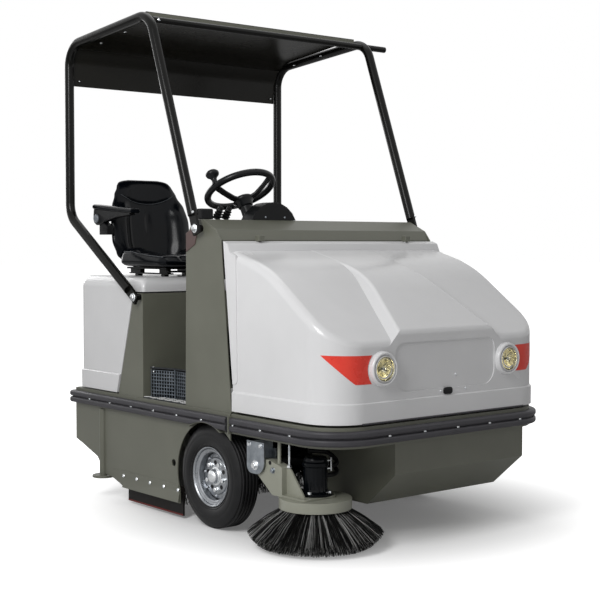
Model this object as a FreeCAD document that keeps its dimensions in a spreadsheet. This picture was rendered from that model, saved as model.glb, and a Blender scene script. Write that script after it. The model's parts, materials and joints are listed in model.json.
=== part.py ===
"""Compact ride-on road sweeper: three wheels, front hopper, one side brush and a canopy.

Millimetres. +Z is up, the machine drives towards -Y and +X is its left side.
The origin is on the floor, midway between the two front wheels.
"""
import FreeCAD, Part
import math
import os
import re
from FreeCAD import Placement, Rotation, Vector

os.makedirs("parts", exist_ok=True)
doc = FreeCAD.newDocument("sweeper")
sheet = doc.addObject("Spreadsheet::Sheet", "Sizes")

# Driving sizes, in millimetres and degrees
size = {
    # wheels
    "tyre_radius": 210.0,
    "tyre_width": 112.0,
    "rim_radius": 121.0,
    "rim_width": 92.0,
    "wheel_recess": 38.0,
    "hub_radius": 34.0,
    "axle_end": 18.0,
    "cap_reach": 50.0,
    "rear_wheel_y": 830.0,
    "shaft_radius": 20.0,
    "running_gap": 0.05,
    "arch_gap": 12.0,
    "fork_gap": 14.0,
    "fork_plate": 12.0,
    "fork_length": 100.0,
    "fork_drop": 44.0,
    # chassis
    "body_half": 588.0,
    "cover_inset": 5.0,
    "plate": 5.0,
    "rear_y": 1066.0,
    "split_y": -150.0,
    "unit_gap": 6.0,
    "deck_top": 484.0,
    "deck_plate": 6.0,
    "tread_plate": 5.0,
    "skirt_bottom": 70.0,
    "ledge_bottom": 404.0,
    "rear_skirt": 244.0,
    "lashing_radius": 15.0,
    "lashing_y": 250.0,
    "lashing_z": 235.0,
    "hanger_plate": 10.0,
    "hanger_gap": 6.0,
    "hanger_half": 60.0,
    "hanger_bottom": 150.0,
    "band_top": 136.0,
    "band_flare": 10.0,
    "band_front": 205.0,
    "band_rear": 646.0,
    "lip_proud": 24.0,
    "post_y": 825.0,
    "post_radius": 17.5,
    "post_foot": 50.0,
    "post_bottom": 95.0,
    "flap_front": 212.0,
    "flap_rear": 642.0,
    "flap_bottom": 14.0,
    "flap_top": 132.0,
    "flap_thickness": 8.0,
    "flap_inset": 16.0,
    "rail_bottom": 112.0,
    "rail_top": 138.0,
    # console and seat box
    "pillar_rear": 165.0,
    "console_top": 1247.0,
    "console_front_z": 1163.0,
    "console_front_y": -84.0,
    "sheet_metal": 4.0,
    "seat_wall_y": 492.0,
    # rear cover
    "cover_top": 1004.0,
    "cover_rear_inset": 16.0,
    "seat_wall_drop": 69.0,
    "wing_shoulder": 85.0,
    "wing_foot": 201.0,
    "wing_drop": 118.0,
    "cover_wall": 4.0,
    "cover_round": 45.0,
    "cover_step": 3.0,
    "cover_gap": 6.0,
    "cover_hinge_y": 1064.0,
    "cover_hinge_z": 498.0,
    "cover_pin_radius": 5.0,
    "cover_hinge_half": 300.0,
    # driver's place
    "driver_x": -285.0,
    "seat_width": 430.0,
    "wheel_rim_radius": 158.0,
    "wheel_rim_tube": 13.0,
    "wheel_y": 190.0,
    "wheel_z": 1378.0,
    "column_tilt": 29.0,
    "column_radius": 26.0,
    "seat_y": 680.0,
    "seat_back_top": 1447.0,
    "armrest_drop": 111.0,
    "guard_height": 130.0,
    "guard_inset": 23.0,
    "guard_sheet": 3.0,
    "hole_pitch": 12.0,
    "hole_size": 8.6,
    "seat_gap": 0.3,
    "seat_rise": 38.0,
    "seat_rail_height": 26.0,
    "cushion_half": 210.0,
    "cushion_rise": 95.0,
    "back_depth": 73.0,
    "back_lean": 58.0,
    "back_round": 110.0,
    "back_crown": 85.0,
    "armrest_width": 48.0,
    "armrest_length": 340.0,
    "armrest_pad": 26.0,
    "armrest_post": 146.0,
    "pod_x": -215.0,
    "pod_z": 1196.0,
    "pod_radius": 127.0,
    "pod_front": 43.0,
    "pod_rear": 122.0,
    "pedal_x": -185.0,
    "pedal_half": 40.0,
    "pedal_rise": 108.0,
    "switch_box_inset": 9.0,
    "switch_box_width": 104.0,
    "switch_box_rise": 44.0,
    "lever_x": -440.0,
    "lever_pitch": 35.0,
    "lever_half": 9.0,
    "lever_rise": 62.0,
    # roof frame
    "hoop_stand_off": 27.0,
    "tube_radius": 21.2,
    "hoop_top_z": 2112.0,
    "hoop_front_y": 384.0,
    "front_bolt_y": 50.0,
    "front_bolt_z": 1210.0,
    "rear_bolt_y": 516.0,
    "rear_bolt_z": 919.0,
    "roof_sheet": 3.0,
    "roof_front_y": 446.0,
    "roof_skirt_z": 1875.0,
    "bar_radius": 14.0,
    # bumper
    "rubber_depth": 27.0,
    "rubber_proud": 12.0,
    "rubber_bottom": 415.0,
    "rubber_top": 469.0,
    "front_y": -760.0,
    "plan_corner": 171.0,
    # hopper
    "box_right": -240.0,
    "box_left_inset": 107.0,
    "box_bottom": 145.0,
    "box_front": -722.0,
    "hopper_sheet": 4.0,
    "arm_inset": 38.0,
    "arm_thickness": 12.0,
    "arm_pin_radius": 10.0,
    "arm_pivot_y": 60.0,
    "arm_pivot_z": 1050.0,
    "arm_end_y": -200.0,
    "arm_end_z": 440.0,
    # hood
    "hood_wall": 5.0,
    "hood_bottom": 492.0,
    "hood_top": 1159.0,
    "hood_crease_z": 784.0,
    "hood_bend_y": -360.0,
    "hood_bend_z": 1061.0,
    "hood_bend": 600.0,
    "flange_front_y": -126.0,
    "flange_foot_y": -142.0,
    "flange_foot_z": 1120.0,
    "flange_side_y": -180.0,
    "flange_proud": 4.0,
    "skirt_top": 572.0,
    "skirt_proud": 4.0,
    "spine_rear_half": 172.0,
    "spine_front_half": 251.0,
    "spine_bend_y": -450.0,
    "spine_bend_z": 1036.0,
    "spine_front_z": 822.0,
    "hood_round": 32.0,
    "spine_round": 26.0,
    "panel_half": 271.0,
    "panel_bottom": 595.0,
    "panel_top": 780.0,
    "panel_depth": 4.0,
    "hood_hinge_y": -100.0,
    "hood_hinge_z": 1173.0,
    "hood_pin_radius": 4.0,
    "hood_clip_half": 400.0,
    "lamp_half": 342.0,
    "lamp_z": 694.0,
    "lamp_radius": 48.0,
    "pod_proud": 14.0,
    "reflector_radius": 36.0,
    # side brush
    "brush_x": -448.0,
    "brush_y": -503.0,
    "brush_tip_radius": 268.0,
    "brush_cap_radius": 139.0,
    "brush_cap_rim": 150.0,
    "brush_hub_radius": 20.0,
    "brush_tip_z": 12.0,
    "motor_radius": 55.0,
    "motor_top": 347.0,
    "motor_flange": 64.0,
    "motor_cap": 46.0,
    "arm_outer_x": -554.0,
    "arm_inner_x": -512.0,
    "carrier_plate_x": -566.0,
    "carrier_top": 386.0,
    "carrier_half": 54.0,
    "cap_height": 40.0,
    "tuft_radius": 8.0,
    "tuft_spread": 11.0,
    "brush_pivot_y": -282.0,
    "brush_pivot_z": 294.0,
    # main brush
    "main_brush_y": 430.0,
    "main_brush_radius": 145.0,
    "main_brush_inset": 138.0,
    "floor_clearance": 5.0,
    "tunnel_gap": 22.0,
    "tunnel_rise": 60.0,
    "tunnel_side_gap": 6.0,
    "core_radius": 55.0,
    "brush_shaft_radius": 12.0,
    "row_thickness": 12.0,
}
for row, (name, value) in enumerate(size.items(), start=1):
    sheet.set(f"A{row}", name)
    sheet.set(f"B{row}", str(value))
    sheet.setAlias(f"B{row}", name)
doc.recompute()

# Sizes that follow from the driving sizes
derived = {
    "track_half": "body_half - tyre_width / 2",
    "pillar_half": "body_half - cover_inset",
    "hood_half": "body_half - cover_inset",
    "hoop_x": "body_half - cover_inset + hoop_stand_off",
    "hoop_rear_y": "rear_y",
    "cover_rear": "rear_y - cover_rear_inset",
    "seat_box_top": "cover_top - seat_wall_drop",
    "box_left": "body_half - box_left_inset",
    "arm_x": "body_half - cover_inset - arm_inset",
    "main_brush_half": "body_half - main_brush_inset",
}


class Sizes:
    """The same sizes as plain numbers, for outlines that are worked out."""


def formula(text):
    """Turns bare size names into references to the spreadsheet."""
    def reference(word):
        name = word.group()
        return f"({formula(derived[name])})" if name in derived else "Sizes." + name
    return re.sub(r"[a-z][a-z_]+", reference, str(text))


for name, value in size.items():
    setattr(Sizes, name, value)
for row, (name, rule) in enumerate(derived.items(), start=len(size) + 3):
    cell = doc.addObject("App::FeaturePython", name)
    cell.addProperty("App::PropertyFloat", "Value")
    cell.setExpression("Value", formula(rule))
    doc.recompute()
    setattr(Sizes, name, cell.Value)
    doc.removeObject(cell.Name)
S = Sizes

finished = {}


def keep(node, obj):
    """Marks an object as one sub-part of the machine."""
    obj.Label = node
    finished[node] = obj
    return obj


# Part workbench helpers

def box(name, x_span, y_span, z_span):
    solid = doc.addObject("Part::Box", name)
    for prop, axis, span in (("Length", "x", x_span), ("Width", "y", y_span), ("Height", "z", z_span)):
        low, high = span
        solid.setExpression(prop, formula(f"({high}) - ({low})"))
        solid.setExpression("Placement.Base." + axis, formula(low))
    return solid


TURN = {
    "x": Rotation(Vector(0, 0, 1), Vector(1, 0, 0)),
    "z": Rotation(),
}


def rod(name, axis, radius, start, end, centre):
    """A cylinder along an axis; centre gives the two other coordinates in x, y, z order."""
    solid = doc.addObject("Part::Cylinder", name)
    solid.Placement = Placement(Vector(), TURN[axis])
    solid.setExpression("Radius", formula(radius))
    solid.setExpression("Height", formula(f"({end}) - ({start})"))
    others = [letter for letter in "xyz" if letter != axis]
    solid.setExpression("Placement.Base." + axis, formula(start))
    for letter, value in zip(others, centre):
        solid.setExpression("Placement.Base." + letter, formula(value))
    return solid


def fuse(name, *solids):
    whole = doc.addObject("Part::MultiFuse", name)
    whole.Shapes = list(solids)
    whole.Refine = True
    return whole


def cut(name, base, *tools):
    whole = doc.addObject("Part::Cut", name)
    whole.Base = base
    whole.Tool = tools[0] if len(tools) == 1 else fuse(name + "_tools", *tools)
    whole.Refine = True
    return whole


def shaped(name, shape, placement=None):
    """A free form made with Part's own functions, placed after its shape is set."""
    solid = doc.addObject("Part::Feature", name)
    solid.Shape = shape
    solid.Placement = placement or Placement()
    return solid


def group(name, *solids):
    """Like pieces of one body, kept together as separate solids."""
    whole = doc.addObject("Part::Compound", name)
    whole.Links = list(solids)
    return whole


# Sketch helpers

def rounded_loop(points):
    """Closed outline as edges; a point is (a, b) or (a, b, radius of its round corner)."""
    corners = [(Vector(p[0], p[1], 0), p[2] if len(p) > 2 else 0.0) for p in points]
    starts = []
    ends = []
    for index, (corner, radius) in enumerate(corners):
        before = corners[index - 1][0]
        after = corners[(index + 1) % len(corners)][0]
        if radius == 0:
            starts.append(corner)
            ends.append(corner)
            continue
        back = (before - corner).normalize()
        ahead = (after - corner).normalize()
        half = back.getAngle(ahead) / 2
        reach = radius / math.tan(half)
        starts.append(corner + back * reach)
        ends.append(corner + ahead * reach)
    edges = []
    for index, (corner, radius) in enumerate(corners):
        if radius:
            middle = (starts[index] + ends[index]) * 0.5
            towards = (middle - corner).normalize()
            half = (starts[index] - corner).getAngle(ends[index] - corner) / 2
            top = corner + towards * (radius / math.sin(half) - radius)
            edges.append(Part.Arc(starts[index], top, ends[index]))
        follower = starts[(index + 1) % len(corners)]
        if (follower - ends[index]).Length > 1e-6:
            edges.append(Part.LineSegment(ends[index], follower))
    return edges


PLANE = {"XY": "XY_Plane", "XZ": "XZ_Plane", "YZ": "YZ_Plane"}


def body_sketch(body, plane, loops, circles=(), offset=None):
    sketch = body.newObject("Sketcher::SketchObject", body.Name + "_sketch")
    support = [o for o in body.Origin.OriginFeatures if o.Role == PLANE[plane]][0]
    sketch.AttachmentSupport = [(support, "")]
    sketch.MapMode = "FlatFace"
    if offset is not None:
        sketch.setExpression(".AttachmentOffset.Base.z", formula(offset))
    for points in loops:
        sketch.addGeometry(rounded_loop(points), False)
    for a, b, radius in circles:
        sketch.addGeometry(Part.Circle(Vector(a, b, 0), Vector(0, 0, 1), radius), False)
    return sketch


def padded(name, plane, loops, start, end, circles=()):
    """A body padded from start to end along the plane's axis; the first loop is the outside."""
    body = doc.addObject("PartDesign::Body", name)
    offset = f"-({start})" if plane == "XZ" else start
    sketch = body_sketch(body, plane, loops, circles, offset)
    pad = body.newObject("PartDesign::Pad", name + "_pad")
    pad.Profile = sketch
    pad.setExpression("Length", formula(f"({end}) - ({start})"))
    pad.Reversed = plane == "XZ"
    body.Tip = pad
    return body


def turned(name, points):
    """A body turned about X; points are (along X, radius)."""
    body = doc.addObject("PartDesign::Body", name)
    sketch = body_sketch(body, "XY", [points])
    spin = body.newObject("PartDesign::Revolution", name + "_turned")
    spin.Profile = sketch
    spin.ReferenceAxis = (sketch, ["H_Axis"])
    spin.Angle = 360
    body.Tip = spin
    return body


def folded(points, thickness):
    """Outline of a folded sheet: the open line of points and its mitred offset to the left."""
    line = [Vector(p[0], p[1], 0) for p in points]
    normals = []
    for start, end in zip(line, line[1:]):
        along = (end - start).normalize()
        normals.append(Vector(-along.y, along.x, 0))
    inner = []
    for index, point in enumerate(line):
        first = normals[max(index - 1, 0)]
        second = normals[min(index, len(normals) - 1)]
        mitre = (first + second).normalize()
        inner.append(point + mitre * (thickness / mitre.dot(first)))
    return [(p.x, p.y) for p in line] + [(p.x, p.y) for p in reversed(inner)]


def plan_block(points, low, high):
    """Upright block on a rounded plan outline."""
    face = Part.Face(Part.Wire([e.toShape() for e in rounded_loop(points)]))
    face.translate(Vector(0, 0, low))
    return face.extrude(Vector(0, 0, high - low))


def side_block(points, half):
    """Block across the machine, from -half to half, on an outline of (y, z) points."""
    face = Part.Face(Part.Wire([e.toShape() for e in rounded_loop(points)]))
    face.transformShape(Placement(Vector(-half, 0, 0), Rotation(Vector(1, 1, 1), 120)).toMatrix())
    return face.extrude(Vector(2 * half, 0, 0))


def arc_points(centre, radius, first, last, count):
    """Points along an arc, angles in degrees."""
    steps = [first + (last - first) * k / (count - 1) for k in range(count)]
    return [
        (centre[0] + radius * math.cos(math.radians(a)), centre[1] + radius * math.sin(math.radians(a)))
        for a in steps
    ]


# Chassis plates and deck

def side_plate(side, sign):
    """Side plate with the wheel arch cut out, a lip round the arch and a flared lower band."""
    rear = S.rear_y
    outline = [
        (S.split_y, S.deck_top - 2),
        (rear, S.deck_top - 2),
        (rear, S.rear_skirt),
        (1014, 229),
        (874, 182),
        (S.post_y + S.post_radius, 150),
        (S.post_y - S.post_radius, 112),
        (722, 101),
        (S.band_rear, S.skirt_bottom + 4),
        (S.band_front, S.skirt_bottom),
        (S.band_front, S.tyre_radius),
        (S.split_y, S.tyre_radius),
    ]
    inner, outer = ("-body_half", "plate - body_half") if sign < 0 else ("body_half - plate", "body_half")
    plate = padded(
        f"plate_{side}", "YZ", [outline], inner, outer,
        circles=[(S.lashing_y, S.lashing_z, S.lashing_radius)],
    )
    face = sign * S.body_half
    band = padded(f"band_{side}", "XZ", [[
        (face, S.band_top),
        (face + sign * S.band_flare, S.skirt_bottom + 4),
        (face + sign * (S.band_flare - 4), S.skirt_bottom + 4),
        (face, S.band_top - 20),
    ]], "band_front", "band_rear")
    lip = padded(
        f"lip_{side}", "YZ", [], face if sign > 0 else face - S.lip_proud, face if sign < 0 else face + S.lip_proud,
        circles=[(0, S.tyre_radius, S.tyre_radius + S.arch_gap + 3), (0, S.tyre_radius, S.tyre_radius + S.arch_gap)],
    )
    keep_low = box(
        f"lip_low_{side}", (f"{face} - lip_proud - 1", f"{face} + lip_proud + 1"), ("-tyre_radius - 30", "tyre_radius + 30"),
        ("-40", "ledge_bottom"),
    )
    arch = rod(
        f"arch_{side}", "x", "tyre_radius + arch_gap", f"({inner}) - 1", f"({outer}) + 1", ("0", "tyre_radius"),
    )
    slot = rod(
        f"slot_{side}", "z", "post_radius + seat_gap", "0", "ledge_bottom", (f"(({inner}) + ({outer})) / 2", "post_y"),
    )
    lip = cut(f"lip_cut_{side}", lip, keep_low)
    return keep(f"side_plate_{side}", cut(f"side_plate_{side}", fuse(f"side_{side}", plate, band, lip), arch, slot))


side_plate("right", -1)
side_plate("left", 1)

keep("rear_plate", box(
    "rear_plate", ("plate - body_half", "body_half - plate"), ("rear_y - plate", "rear_y"),
    ("rear_skirt", "deck_top - deck_plate"),
))

deck_sheet = box(
    "deck_sheet", ("plate - body_half", "body_half - plate"), ("split_y + 4", "rear_y - plate"),
    ("deck_top - deck_plate", "deck_top"),
)
hinge_lugs = []
for side, x in (("right", "-cover_hinge_half"), ("left", "cover_hinge_half")):
    hinge_lugs.append(box(
        f"cover_lug_{side}", (f"{x} - 4", f"{x} + 4"), ("cover_hinge_y - 7", "cover_hinge_y + 7"),
        ("deck_top - deck_plate", "cover_hinge_z"),
    ))
    hinge_lugs.append(rod(
        f"cover_eye_{side}", "x", "cover_pin_radius + 3", f"{x} - 4", f"{x} + 4", ("cover_hinge_y", "cover_hinge_z"),
    ))
lug_bore = rod(
    "lug_bore", "x", "cover_pin_radius + running_gap", "-cover_hinge_half - 10", "cover_hinge_half + 10",
    ("cover_hinge_y", "cover_hinge_z"),
)
steer_ring = rod("steer_ring", "z", "70", "deck_top - fork_drop", "deck_top - deck_plate", ("0", "rear_wheel_y"))
steer_hole = rod(
    "steer_hole", "z", "shaft_radius + running_gap + 5", "deck_top - 60", "deck_top + 20", ("0", "rear_wheel_y"),
)
keep("chassis_deck", cut(
    "chassis_deck", fuse("deck_body", deck_sheet, steer_ring, *hinge_lugs), steer_hole, lug_bore,
))

keep("tread_floor", fuse(
    "tread_floor",
    box(
        "tread_front", ("plate - pillar_half + 0.3", "pillar_half - plate - 0.3"),
        ("pillar_rear - 240", "pillar_rear + 10"), ("deck_top", "deck_top + tread_plate"),
    ),
    box(
        "tread_rear", ("-pillar_half", "pillar_half"), ("pillar_rear + 3.3", "seat_wall_y"),
        ("deck_top", "deck_top + tread_plate"),
    ),
))

# Front stub axles on hanger plates under the deck

axle_parts = []
for side, sign in (("right", -1), ("left", 1)):
    inner_x = S.track_half - S.tyre_width / 2 - S.hanger_gap
    low, high = sorted((sign * (inner_x - S.hanger_plate), sign * inner_x))
    hanger_top = S.deck_top - S.deck_plate
    hanger = padded(
        f"axle_hanger_{side}", "YZ",
        [[
            (-S.hanger_half, hanger_top),
            (S.hanger_half, hanger_top),
            (S.hanger_half - 15, S.hanger_bottom, 40),
            (15 - S.hanger_half, S.hanger_bottom, 40),
        ]],
        low, high,
    )
    start, end = ("-track_half - axle_end", -inner_x) if sign < 0 else (inner_x, "track_half + axle_end")
    stub = rod(f"axle_stub_{side}", "x", "shaft_radius", start, end, ("0", "tyre_radius"))
    axle_parts.append(fuse(f"axle_{side}", hanger, stub))
keep("front_axle", group("front_axle", *axle_parts))

# Wheels

def wheel(node, centre_x, centre_y, dish, capped):
    """Tyre and rim; dish is +1 or -1, the side to which the hub disc faces."""
    half = S.tyre_width / 2
    bead = S.rim_width / 2
    tread = S.tyre_radius
    tyre_line = [
        (-bead, S.rim_radius),
        (4 - half, S.rim_radius + 14),
        (-half, S.rim_radius + 30),
        (-half, tread - 42),
        (5 - half, tread - 18),
        (16 - half, tread - 5),
        (-34, tread),
        (-32, tread - 6),
        (-28, tread - 6),
        (-26, tread),
        (-9, tread),
        (-7, tread - 6),
        (7, tread - 6),
        (9, tread),
        (26, tread),
        (28, tread - 6),
        (32, tread - 6),
        (34, tread),
        (half - 16, tread - 5),
        (half - 5, tread - 18),
        (half, tread - 42),
        (half, S.rim_radius + 30),
        (half - 4, S.rim_radius + 14),
        (bead, S.rim_radius),
    ]
    tyre = turned(node + "_tyre", tyre_line)
    disc = half - S.wheel_recess
    bore = S.shaft_radius + S.running_gap
    barrel = S.rim_radius - 26
    if capped:
        hub_line = [
            (S.axle_end + 2, bore),
            (S.axle_end + 2, 0),
            (S.cap_reach, 0),
            (S.cap_reach - 1, 11),
            (S.cap_reach - 5, 20),
            (S.cap_reach - 12, 27),
            (disc + 5, 30),
        ]
    else:
        hub_line = [(30, bore), (30, S.hub_radius), (disc + 5, S.hub_radius)]
    rim_line = [
        (-bead, S.rim_radius - S.seat_gap),
        (-bead, S.rim_radius - 10),
        (12 - bead, barrel),
        (disc - 5, barrel),
        (disc - 5, S.hub_radius),
        (-30, S.hub_radius),
        (-30, bore),
        *hub_line,
        (disc + 5, 66),
        (disc, 73),
        (disc, 90),
        (disc + 6, barrel),
        (bead - 12, barrel),
        (bead, S.rim_radius - 10),
        (bead, S.rim_radius - S.seat_gap),
        (bead - 9, S.rim_radius - S.seat_gap),
        (bead - 16, S.rim_radius - 20),
        (16 - bead, S.rim_radius - 20),
        (9 - bead, S.rim_radius - S.seat_gap),
    ]
    rim_line = [(dish * p[0],) + tuple(p[1:]) for p in rim_line]
    rim = turned(node + "_rim", rim_line)
    for part in (tyre, rim):
        part.setExpression(".Placement.Base.x", formula(centre_x))
        part.setExpression(".Placement.Base.y", formula(centre_y))
        part.setExpression(".Placement.Base.z", formula("tyre_radius"))
    keep(node + "_tyre", tyre)
    keep(node + "_rim", rim)


wheel("front_right", "-track_half", "0", -1, True)
wheel("front_left", "track_half", "0", 1, True)
wheel("rear", "0", "rear_wheel_y", 1, False)

# Rear fork, turned by the steering

fork_leg = S.tyre_width / 2 + S.fork_gap
fork_outer = fork_leg + S.fork_plate
fork_top = S.deck_top - S.fork_drop - S.seat_gap
fork_foot = S.tyre_radius - 40
fork_body = padded(
    "fork_yoke", "XZ",
    [[
        (-fork_outer, fork_top, 10),
        (fork_outer, fork_top, 10),
        (fork_outer, fork_foot),
        (fork_leg, fork_foot),
        (fork_leg, fork_top - S.fork_plate),
        (-fork_leg, fork_top - S.fork_plate),
        (-fork_leg, fork_foot),
        (-fork_outer, fork_foot),
    ]],
    "rear_wheel_y - fork_length / 2", "rear_wheel_y + fork_length / 2",
)
fork_shaft = rod(
    "fork_shaft", "x", "shaft_radius", -fork_leg, fork_leg, ("rear_wheel_y", "tyre_radius"),
)
fork_pin = rod("fork_pin", "z", "shaft_radius + 5", fork_top - 6, "deck_top + 12", ("0", "rear_wheel_y"))
keep("rear_fork", fuse("rear_fork", fork_body, fork_shaft, fork_pin))

# Main brush and its tunnel

brush_z = S.main_brush_radius + S.floor_clearance
tunnel_radius = S.main_brush_radius + S.tunnel_gap
tunnel_centre = (S.main_brush_y, brush_z + S.tunnel_rise)
tunnel_line = [(S.main_brush_y + tunnel_radius, 60)]
tunnel_line += arc_points(tunnel_centre, tunnel_radius, 0, 150, 11)
tunnel_shell = padded(
    "tunnel_shell", "YZ", [folded(tunnel_line, -S.sheet_metal)],
    "-main_brush_half - 2 * tunnel_side_gap",
    "main_brush_half + 2 * tunnel_side_gap",
)
tunnel_ends = []
for side, low, high in (
    ("right", "-main_brush_half - 2 * tunnel_side_gap", "-main_brush_half - tunnel_side_gap"),
    ("left", "main_brush_half + tunnel_side_gap", "main_brush_half + 2 * tunnel_side_gap"),
):
    outline = [(S.main_brush_y + tunnel_radius, 60)]
    outline += arc_points(tunnel_centre, tunnel_radius, 0, 150, 11)
    outline += [(S.main_brush_y - 60, 90)]
    tunnel_ends.append(padded(
        f"tunnel_end_{side}", "YZ", [outline], low, high,
        circles=[(S.main_brush_y, brush_z, S.brush_shaft_radius + S.running_gap)],
    ))
tunnel_hangers = box(
    "tunnel_hangers", ("-main_brush_half - 2 * tunnel_side_gap", "main_brush_half + 2 * tunnel_side_gap"),
    ("main_brush_y - 20", "main_brush_y + 20"),
    (brush_z + S.tunnel_rise + tunnel_radius, "deck_top - deck_plate"),
)
keep("brush_tunnel", fuse("brush_tunnel", tunnel_shell, *tunnel_ends, tunnel_hangers))

ROWS = 12
core = rod(
    "brush_core", "x", "core_radius", "-main_brush_half", "main_brush_half", ("main_brush_y", brush_z),
)
brush_shaft = rod(
    "brush_shaft", "x", "brush_shaft_radius", "-main_brush_half - 2 * tunnel_side_gap - 2",
    "main_brush_half + 2 * tunnel_side_gap + 2", ("main_brush_y", brush_z),
)
rows = []
for k in range(ROWS):
    turn = 360 * k / ROWS
    blade = doc.addObject("Part::Box", f"bristle_row_{k}")
    blade.setExpression("Length", formula("2 * main_brush_half"))
    blade.setExpression("Width", formula("row_thickness"))
    blade.setExpression("Height", formula("main_brush_radius - core_radius + 5"))
    spin = Rotation(Vector(1, 0, 0), turn)
    base = Vector(-S.main_brush_half, S.main_brush_y, brush_z) + spin.multVec(Vector(0, -S.row_thickness / 2, S.core_radius - 5))
    blade.Placement = Placement(base, spin)
    rows.append(blade)
keep("main_brush", fuse("main_brush", core, brush_shaft, *rows))

# Rubber flaps round the tunnel

flap_parts = []
for side, sign in (("right", -1), ("left", 1)):
    wall = sign * (S.body_half - S.plate)
    face = wall - sign * S.flap_inset
    low, high = sorted((face, face - sign * S.flap_thickness))
    flap_parts.append(box(
        f"side_flap_{side}", (low, high), ("flap_front", "flap_rear"), ("flap_bottom", "flap_top"),
    ))
    low, high = sorted((wall, face + sign * S.seat_gap))
    flap_parts.append(box(
        f"flap_rail_{side}", (low, high), ("flap_front", "flap_rear"), ("rail_bottom", "rail_top"),
    ))
keep("skirt_flaps", group("skirt_flaps", *flap_parts))

# Foot posts behind the skirt

post_parts = []
for side, x in (("right", "plate / 2 - body_half"), ("left", "body_half - plate / 2")):
    tube = rod(f"post_tube_{side}", "z", "post_radius", "post_bottom", "ledge_bottom - 0.3", (x, "post_y"))
    foot = rod(f"post_flange_{side}", "z", "post_foot", "post_bottom", "post_bottom + 10", (x, "post_y"))
    post_parts.append(fuse(f"post_{side}", tube, foot))
keep("foot_posts", group("foot_posts", *post_parts))

# Console: two pillars, the folded bar between them and the dash

pillar_line = [
    (S.split_y, S.deck_top),
    (S.console_front_y, S.console_front_z),
    (-50, 1205),
    (43, S.console_top),
    (105, S.console_top),
    (S.pillar_rear - 5, 1175),
    (S.pillar_rear + 3, S.deck_top),
]
pillar_parts = []
for side, low, high in (
    ("right", "-pillar_half", "plate - pillar_half"),
    ("left", "pillar_half - plate", "pillar_half"),
):
    panel = padded(f"pillar_panel_{side}", "YZ", [pillar_line], low, high)
    if side == "left":
        pin_low, pin_high = "arm_x - 20", "pillar_half - 2"
    else:
        pin_low, pin_high = "2 - pillar_half", "20 - arm_x"
    pin = rod(f"arm_pin_{side}", "x", "arm_pin_radius", pin_low, pin_high, ("arm_pivot_y", "arm_pivot_z"))
    pillar_parts.append(fuse(f"pillar_{side}", panel, pin))
keep("console_pillars", group("console_pillars", *pillar_parts))

bar_line = [
    (-76 + 12, 1080),
    (S.console_front_y + 8, S.console_front_z),
    (-50, 1205),
    (43, S.console_top),
    (105, S.console_top),
    (150, 1175),
    (150, 1000),
]
bar_sheet = padded(
    "bar_sheet", "YZ", [folded(bar_line, -S.sheet_metal)], "plate - pillar_half", "pillar_half - plate",
)
tilt = math.radians(S.column_tilt)
column_axis = Vector(0, math.sin(tilt), math.cos(tilt))
rim_centre = Vector(S.driver_x, S.wheel_y, S.wheel_z)
column_turn = Rotation(Vector(0, 0, 1), column_axis)


def along_column(name, radius, start, end):
    """A cylinder on the column's line, from start to end measured up from the rim's centre."""
    solid = doc.addObject("Part::Cylinder", name)
    solid.Radius = radius
    solid.Height = end - start
    solid.Placement = Placement(rim_centre + column_axis * start, column_turn)
    return solid


keep("console_bar", cut("console_bar", bar_sheet, along_column("bar_hole", S.column_radius + 0.3, -340, 0)))

# Seat box wall with its two wings
wall = box(
    "seat_wall_front", ("-pillar_half", "pillar_half"), ("seat_wall_y", "seat_wall_y + sheet_metal"),
    ("deck_top", "seat_box_top"),
)
wing_line = [
    (S.seat_wall_y, S.deck_top),
    (S.seat_wall_y, S.seat_box_top),
    (S.seat_wall_y + 60, S.seat_box_top),
    (S.seat_wall_y + S.wing_shoulder, S.cover_top - S.wing_drop),
    (S.seat_wall_y + S.wing_foot, S.deck_top + 9),
    (S.seat_wall_y + S.wing_foot, S.deck_top),
]
wing_right = padded("seat_wing_right", "YZ", [wing_line], "-pillar_half", "sheet_metal - pillar_half")
wing_left = padded("seat_wing_left", "YZ", [wing_line], "pillar_half - sheet_metal", "pillar_half")
keep("seat_box_wall", fuse("seat_box_wall", wall, wing_right, wing_left))

keep("engine", box("engine", ("60", "440"), ("560", "940"), ("deck_top", "deck_top + 370")))

# Rear cover: an open-bottomed moulded shell

def cover_form(inset):
    """Outer form of the rear cover, or its hollow when inset is the wall."""
    half = S.pillar_half - S.cover_step - inset
    front = S.seat_wall_y + 2 + inset
    rear = S.cover_rear - inset
    top = S.cover_top - inset
    bottom = S.deck_top + S.cover_gap - (20 if inset else 0)
    plan_round = 60 - inset
    plan = [(-half, front, 14 - inset), (half, front, 14 - inset), (half, rear, plan_round), (-half, rear, plan_round)]
    block = Part.Face(Part.Wire([e.toShape() for e in rounded_loop(plan)])).extrude(Vector(0, 0, top - bottom))
    block.translate(Vector(0, 0, bottom))
    rims = [e for e in block.Edges if abs(e.CenterOfMass.z - top) < 0.01]
    return block.makeFillet(S.cover_round - 2 * inset, [e for e in rims if e.CenterOfMass.y > front + 30])


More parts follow.
